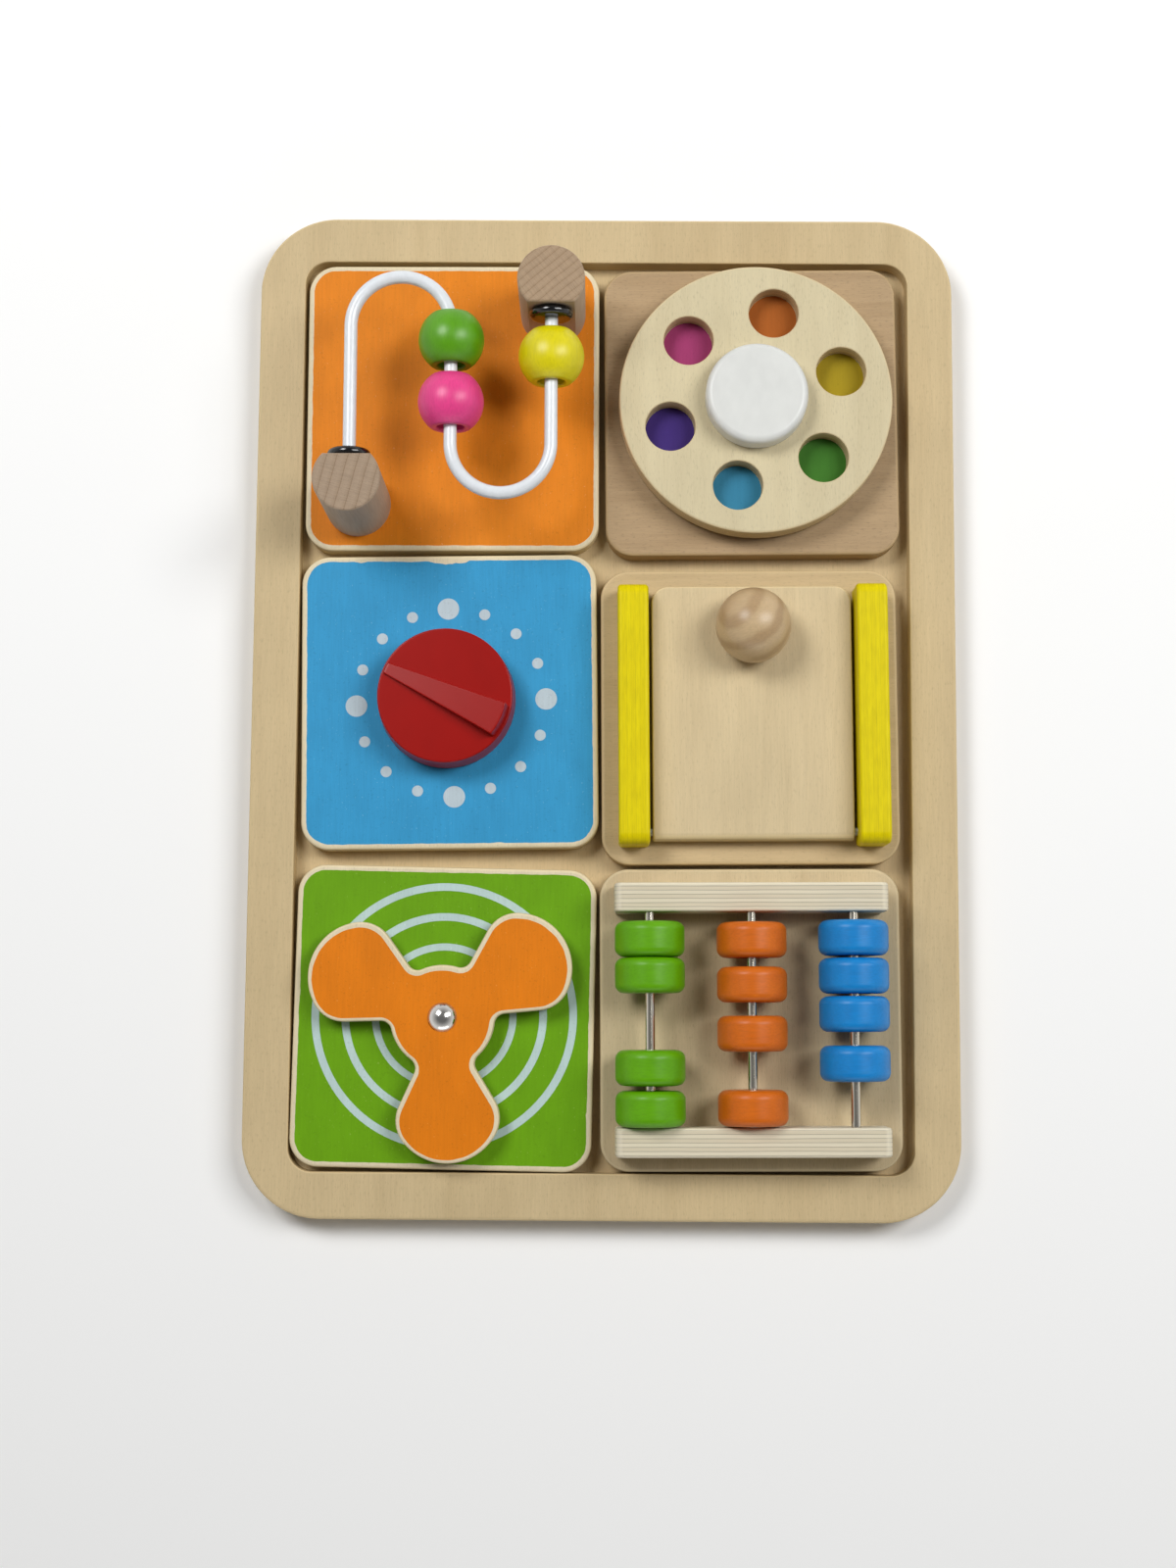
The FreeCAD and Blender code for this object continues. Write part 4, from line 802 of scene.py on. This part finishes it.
def gripMesh():
    # The wedge that fingers turn: low and narrow at one end, high and wide at the other
    rim = dial["top"] - dial["inset"]
    along, across = 48, 10
    base = dial["height"] - dial["sink"]

    def spot(u, v, top):
        # u runs from the low end to the high one, and v from side to side
        width = dial["narrow"] + (dial["wide"] - dial["narrow"]) * u
        y = v * width / 2
        end = math.sqrt(rim ** 2 - y ** 2)
        x = -end + 2 * end * u - (dial["draft"] * u ** 6 if top else 0)
        rise = dial["low"] + (dial["high"] - dial["low"]) * (x + rim) / (2 * rim)
        return (x, y, dial["height"] + rise if top else base)

    loop = [(i / along, -1) for i in range(along)] + [(1, -1 + 2 * i / across) for i in range(across)]
    loop += [(1 - i / along, 1) for i in range(along)] + [(0, 1 - 2 * i / across) for i in range(across)]
    points = [spot(u, v, top) for top in (False, True) for u, v in loop]
    count = len(loop)
    faces = [(i, (i + 1) % count, count + (i + 1) % count, count + i) for i in range(count)]
    # The top is a grid between the loop's long sides
    grid = {}
    for i in range(along + 1):
        for j in range(across + 1):
            u, v = i / along, -1 + 2 * j / across
            if j == 0:
                grid[i, j] = count + i
            elif i == along:
                grid[i, j] = count + along + j
            elif j == across:
                grid[i, j] = count + along + across + (along - i)
            elif i == 0:
                grid[i, j] = count + 2 * along + across + (across - j)
            else:
                grid[i, j] = len(points)
                points.append(spot(u, v, True))
    for i in range(along):
        for j in range(across):
            faces.append((grid[i, j], grid[i + 1, j], grid[i + 1, j + 1], grid[i, j + 1]))
    faces.append(tuple(range(count))[::-1])
    mesh = meshFrom(points, faces)
    solid = bmesh.new()
    solid.from_mesh(mesh)
    crease = math.radians(dial["crease"])
    ridge = [edge for edge in solid.edges if edge.is_manifold and edge.calc_face_angle() > crease
             and max(vert.co.z for vert in edge.verts) > dial["height"]]
    bmesh.ops.bevel(solid, geom=ridge, offset=dial["soft"], segments=4, profile=0.5, affect="EDGES",
                    clamp_overlap=True)
    solid.to_mesh(mesh)
    solid.free()
    return mesh


def joinMeshes(*meshes):
    # Lays several meshes in one
    whole = bmesh.new()
    for mesh in meshes:
        whole.from_mesh(mesh)
    result = bpy.data.meshes.new("joined")
    whole.to_mesh(result)
    whole.free()
    return result


def makeDial():
    finishMesh(tileMesh(ink=True, chips=dial["chips"], seed=5.0), "dial_tile", "dial", ["tilePly", "dialInk"],
               "dial_module", ["dial_board"])
    ringOfDots = grow(dotTree, lineMesh([]), "whiteInk", Ring=dots["ring"], Large=dots["large"],
                      Small=dots["small"], Thick=dots["thick"], Count=dots["count"], Every=dots["every"])
    turned(ringOfDots, at=(*dots["middle"], tile["thick"] + dots["thick"] / 2), spin=dots["first"])
    finishMesh(ringOfDots, "dial_dots", "dial", ["whiteInk"], "dial_module")
    low = (layIn("dial").inverted() @ (boxOf("dial_knob")[0] * mm)).z
    edge = fillet(dial["edge"])
    profile = [(dial["foot"] - dial["wall"], 0.0), (dial["foot"] - dial["footEdge"], 0.0),
               (dial["foot"], dial["footEdge"])]
    profile += [(dial["top"] - inset, dial["height"] - drop) for inset, drop in edge]
    profile += [(dial["top"] - inset, dial["height"]) for inset in dial["topInsets"]]
    body = lathe(profile, sides=160)
    middle = inModule("dial", "dial_knob")
    knob = turned(joinMeshes(body, gripMesh()), at=(middle.x, middle.y, low), spin=dial["gripAngle"])
    finishMesh(knob, "red_knob", "dial", ["knobAbs"], "dial", ["dial_knob"], angle=30)
    softCopy("dial_washer", "dial", "washerNylon", "dial_module")
    softCopy("dial_axle", "dial", "screwSteel", "dial")
    print("dial made")


def makeDoor():
    finishMesh(tileMesh(seed=6.0), "door_tile", "door", ["doorTilePly"], "door_module",
               ["door_board"])
    for word in ("left", "right"):
        softCopy("rail_" + word, "door", "railLacquer", "door_module")
    softCopy("door_panel", "door", "doorPly", "door")
    softCopy("door_knob", "door", "ballWood", "door", angle=60)
    softCopy("hinge_pin", "door", "screwSteel", "door_module")
    softCopy("door_knob_screw", "door", "screwSteel", "door")
    softCopy("rail_screws", "door", "screwSteel", "door_module")
    print("door made")


spinner = {"reach": 60, "tip": 23, "shoulder": 14, "shoulderPlace": 42, "root": 1, "hub": 21.7, "angle": 34.6,
           "thick": 7, "edge": 1.2, "ink": 1.9, "wander": (0.2, 0.25), "hubFillet": 4.5, "slip": (-0.2, -0.5),
           "chips": ((60.7, -40, 3, 0.6), (-60.7, 10, 3, 0.5))}
printedRings = {"middle": (0.2, 0.6), "radii": ((27.3, 30.3), (39.8, 43.0), (52.4, 55.6)), "thick": 0.08,
                "edge": 0.02}


def propellerOutline():
    # Half a blade is laid from tip to hub as arcs and a straight side, then mirrored and turned round
    tip, shoulder = spinner["tip"], spinner["shoulder"]
    tipX = spinner["reach"] - tip
    spot = spinner["shoulderPlace"]
    rise = math.sqrt((tip - shoulder) ** 2 - (spot - tipX) ** 2)
    root = spinner["root"]
    away = math.hypot(spot, rise - root)
    lean = math.atan2(rise - root, spot) + math.asin(shoulder / away) + math.pi / 2
    touch = polar(shoulder, lean, spot, rise)
    turn = math.atan2(rise, spot - tipX)
    half = [polar(tip, turn * i / 24, tipX) for i in range(25)]
    half += [polar(shoulder, turn + (lean - turn) * i / 24, spot, rise) for i in range(1, 25)]
    # Down the straight side to the hub's round, with a small fillet between them
    hub, small = spinner["hub"], spinner["hubFillet"]
    direction = Vector((0 - touch[0], root - touch[1])).normalized()
    normal = Vector((-direction.y, direction.x))
    if normal.y < 0:
        normal = -normal
    # the fillet's centre lies off the side by its radius and off the hub by both radii
    start = Vector(touch) + normal * small
    ahead = start.dot(direction)
    centre = start - direction * (ahead + math.sqrt(ahead ** 2 - start.length_squared + (hub + small) ** 2))
    first = math.atan2(-normal.y, -normal.x)
    last = math.atan2(-centre.y, -centre.x)
    while last > first:
        last -= 2 * math.pi
    if first - last > math.pi:
        last += 2 * math.pi
    foot = centre - normal * small
    for i in range(1, 15):
        half.append((touch[0] + (foot.x - touch[0]) * i / 15, touch[1] + (foot.y - touch[1]) * i / 15))
    half += [polar(small, first + (last - first) * i / 10, centre.x, centre.y) for i in range(11)]
    meet = math.atan2(half[-1][1], half[-1][0])
    third = math.pi / 3
    half += [polar(hub, meet + (third - meet) * i / 8) for i in range(1, 9)]
    blade = [(x, -y) for x, y in reversed(half[1:])] + half[:-1]
    outline = []
    for number in range(3):
        spin = math.radians(120 * number)
        outline += [(x * math.cos(spin) - y * math.sin(spin), x * math.sin(spin) + y * math.cos(spin))
                    for x, y in blade]
    return outline


def insetOutline(outline, inset):
    # Moves each point inwards, square to the line between its neighbours
    count = len(outline)
    moved = []
    for i, (x, y) in enumerate(outline):
        beforeX, beforeY = outline[i - 1]
        afterX, afterY = outline[(i + 1) % count]
        dx, dy = afterX - beforeX, afterY - beforeY
        size = math.hypot(dx, dy) or 1
        moved.append((x - dy / size * inset, y + dx / size * inset))
    return moved


def makePropeller():
    finishMesh(tileMesh(ink=True, chips=spinner["chips"], seed=7.0), "propeller_tile", "propeller",
               ["tilePly", "ringInk"], "propeller_module", ["propeller_board"])
    thick = printedRings["thick"]
    for number, (inner, outer) in enumerate(printedRings["radii"], 1):
        ring = makeRing(outer, inner, thick, printedRings["edge"], "paleInk", sides=200, steps=1)
        turned(ring, at=(*printedRings["middle"], tile["thick"] + thick / 2))
        finishMesh(ring, f"printed_ring_{number}", "propeller", ["paleInk"], "propeller_module")
    low = (layIn("propeller").inverted() @ (boxOf("propeller")[0] * mm)).z
    outline = propellerOutline()
    edge = fillet(spinner["edge"])
    profile = [(inset, drop) for inset, drop in reversed(edge)]
    profile += [(inset, spinner["thick"] - drop) for inset, drop in edge]
    shape = [[(x, y, height) for x, y in insetOutline(outline, inset)] for inset, height in profile]
    inked = len(shape)
    # The print sits a little off the blank, towards the lower left
    slip = Matrix.Rotation(-math.radians(spinner["angle"]), 2) @ Vector(spinner["slip"])
    border = []
    size, rate = spinner["wander"]
    for x, y in insetOutline(outline, spinner["ink"]):
        wear = 1 + size * noise.noise(Vector((x * rate, y * rate, 9))) / spinner["reach"]
        border.append((x * wear + slip.x, y * wear + slip.y, spinner["thick"]))
    shape.append(border)
    blades = skin(shape, inked=inked)
    turned(blades, at=(0, 0, low), spin=spinner["angle"])
    finishMesh(blades, "three_blades", "propeller", ["tilePly", "bladeInk"], "spinner",
               ["propeller"], angle=50)
    softCopy("propeller_spacer", "propeller", "washerNylon", "propeller_module")
    softCopy("propeller_rivet", "propeller", "rivetChrome", "propeller_module", angle=50)
    print("propeller made")


abacus = {"bead": 14.4, "length": 14.6, "bore": 2.5, "round": 3.6, "rod": 2,
          "words": ("one", "two", "three", "four")}


def makeAbacus():
    finishMesh(tileMesh(seed=8.0), "abacus_tile", "abacus", ["abacusPly"], "abacus_module",
               ["abacus_board"])
    for word in ("upper", "lower"):
        softCopy("bar_" + word, "abacus", "barPly", "abacus_module")
    softCopy("bar_screws", "abacus", "screwSteel", "abacus_module")
    for word, colour in (("left", "green"), ("middle", "orange"), ("right", "blue")):
        middle = inModule("abacus", "rod_" + word)
        half = sizeOf("rod_" + word).y / 2
        ends = [(middle.x, middle.y + half * sign, middle.z) for sign in (-1, 1)]
        rod = grow(rodTree, lineMesh(ends), "rodSteel", Radius=abacus["rod"], Sides=32)
        finishMesh(rod, f"steel_rod_{word}", "abacus", ["rodSteel"], "abacus_module",
                   ["rod_" + word])
        for number in abacus["words"]:
            node = f"{colour}_bead_{number}"
            bead = makeRing(abacus["bead"], abacus["bore"], abacus["length"], abacus["round"], colour,
                            steps=10)
            turned(bead, "y", inModule("abacus", node))
            finishMesh(bead, f"{colour}_roller_{number}", "abacus", [colour], f"{colour}_{number}",
                       [node], angle=50)
    print("abacus made")


def makeHidden():
    # Fastenings that show only from under a lifted tile
    softCopy("post_screws", "maze", "screwSteel", "maze_module")
    softCopy("disc_washer", "disc", "washerNylon", "disc_module")
    softCopy("disc_axle", "disc", "screwSteel", "disc_module")


makeTray()
makeMaze()
makeDisc()
makeDial()
makeDoor()
makePropeller()
makeAbacus()
makeHidden()

studio = {"floorSize": 6.0, "floorHex": "#F7F7F6", "zenith": 0.18, "horizon": 0.92, "ambient": 0.25,
          "lamps": {"key": ((-0.72, 0.62, 1.3), (0.6, 0.6), 14.6),
                    "side": ((0.85, 0.35, 1.25), (0.5, 0.9), 14.0),
                    "front": ((0.1, -1.5, 0.42), (1.4, 0.4), 2.6)}}


def makeStage():
    mesh = bpy.data.meshes.new("floor")
    half = studio["floorSize"] / 2
    corners = [(-half, -half, 0), (half, -half, 0), (half, half, 0), (-half, half, 0)]
    mesh.from_pydata(corners, [], [(0, 1, 2, 3)])
    floor = bpy.data.objects.new("floor", mesh)
    bpy.context.scene.collection.objects.link(floor)
    material, tree, shader = newMaterial("white_floor")
    feed(tree, shader.inputs["Base Color"], hexColour(studio["floorHex"]))
    feed(tree, shader.inputs["Roughness"], 0.9)
    mesh.materials.append(material)
    world = bpy.data.worlds.new("soft_studio")
    world.use_nodes = True
    # A room with pale walls, dim overhead where the photographer stands. The camera and the metals see the
    # walls as they are, and they light the object less
    sky = world.node_tree
    around = addNode(sky, "ShaderNodeTexCoord").outputs["Generated"]
    height = addNode(sky, "ShaderNodeSeparateXYZ", {"Vector": around}).outputs["Z"]
    glow = addNode(sky, "ShaderNodeMapRange", {
        "Value": height, "From Min": 0.25, "From Max": 0.85, "To Min": studio["horizon"],
        "To Max": studio["zenith"]})
    ray = addNode(sky, "ShaderNodeLightPath").outputs
    seen = ray["Is Camera Ray"]
    for other in ("Is Glossy Ray", "Is Transmission Ray"):
        seen = addNode(sky, "ShaderNodeMath", {0: seen, 1: ray[other]}, operation="ADD")
    part = addNode(sky, "ShaderNodeMapRange", {"Value": seen, "To Min": studio["ambient"], "To Max": 1.0})
    strength = addNode(sky, "ShaderNodeMath", {0: glow, 1: part}, operation="MULTIPLY")
    sky.nodes["Background"].inputs["Color"].default_value = (1, 1, 1, 1)
    feed(sky, sky.nodes["Background"].inputs["Strength"], strength)
    bpy.context.scene.world = world
    for name, (place, size, power) in studio["lamps"].items():
        lamp = bpy.data.lights.new(name, "AREA")
        lamp.shape = "RECTANGLE"
        lamp.size, lamp.size_y = size
        lamp.energy = power
        holder = bpy.data.objects.new(name, lamp)
        holder.location = place
        holder.rotation_euler = (-Vector(place)).to_track_quat("-Z", "Y").to_euler()
        bpy.context.scene.collection.objects.link(holder)


# The camera stood about 0.93 m over the board, a little below its middle, and leaned 6 degrees
camera = {"place": (-2.9, -133.5, 938.9), "right": (0.99996, 0.00691, -0.00601),
          "up": (-0.00621, 0.99396, 0.10953), "back": (0.00673, -0.10949, 0.99397),
          "focal": 2240.5, "middle": (593.47, 797.71), "photo": (1200, 1600), "sensor": 36}


def makeCamera():
    eye = bpy.data.cameras.new("photoCamera")
    width, height = camera["photo"]
    eye.sensor_width = camera["sensor"]
    eye.lens = camera["sensor"] * camera["focal"] / height
    eye.shift_x = (width / 2 - camera["middle"][0]) / height
    eye.shift_y = (camera["middle"][1] - height / 2) / height
    eye.clip_start = 0.01
    holder = bpy.data.objects.new("photoCamera", eye)
    axes = Matrix((camera["right"], camera["up"], camera["back"])).transposed().to_4x4()
    holder.matrix_world = Matrix.Translation(Vector(camera["place"]) * mm) @ axes
    bpy.context.scene.collection.objects.link(holder)
    bpy.context.scene.camera = holder


makeStage()
makeCamera()
bpy.context.scene.view_settings.view_transform = "Standard"
print("stage and camera made")
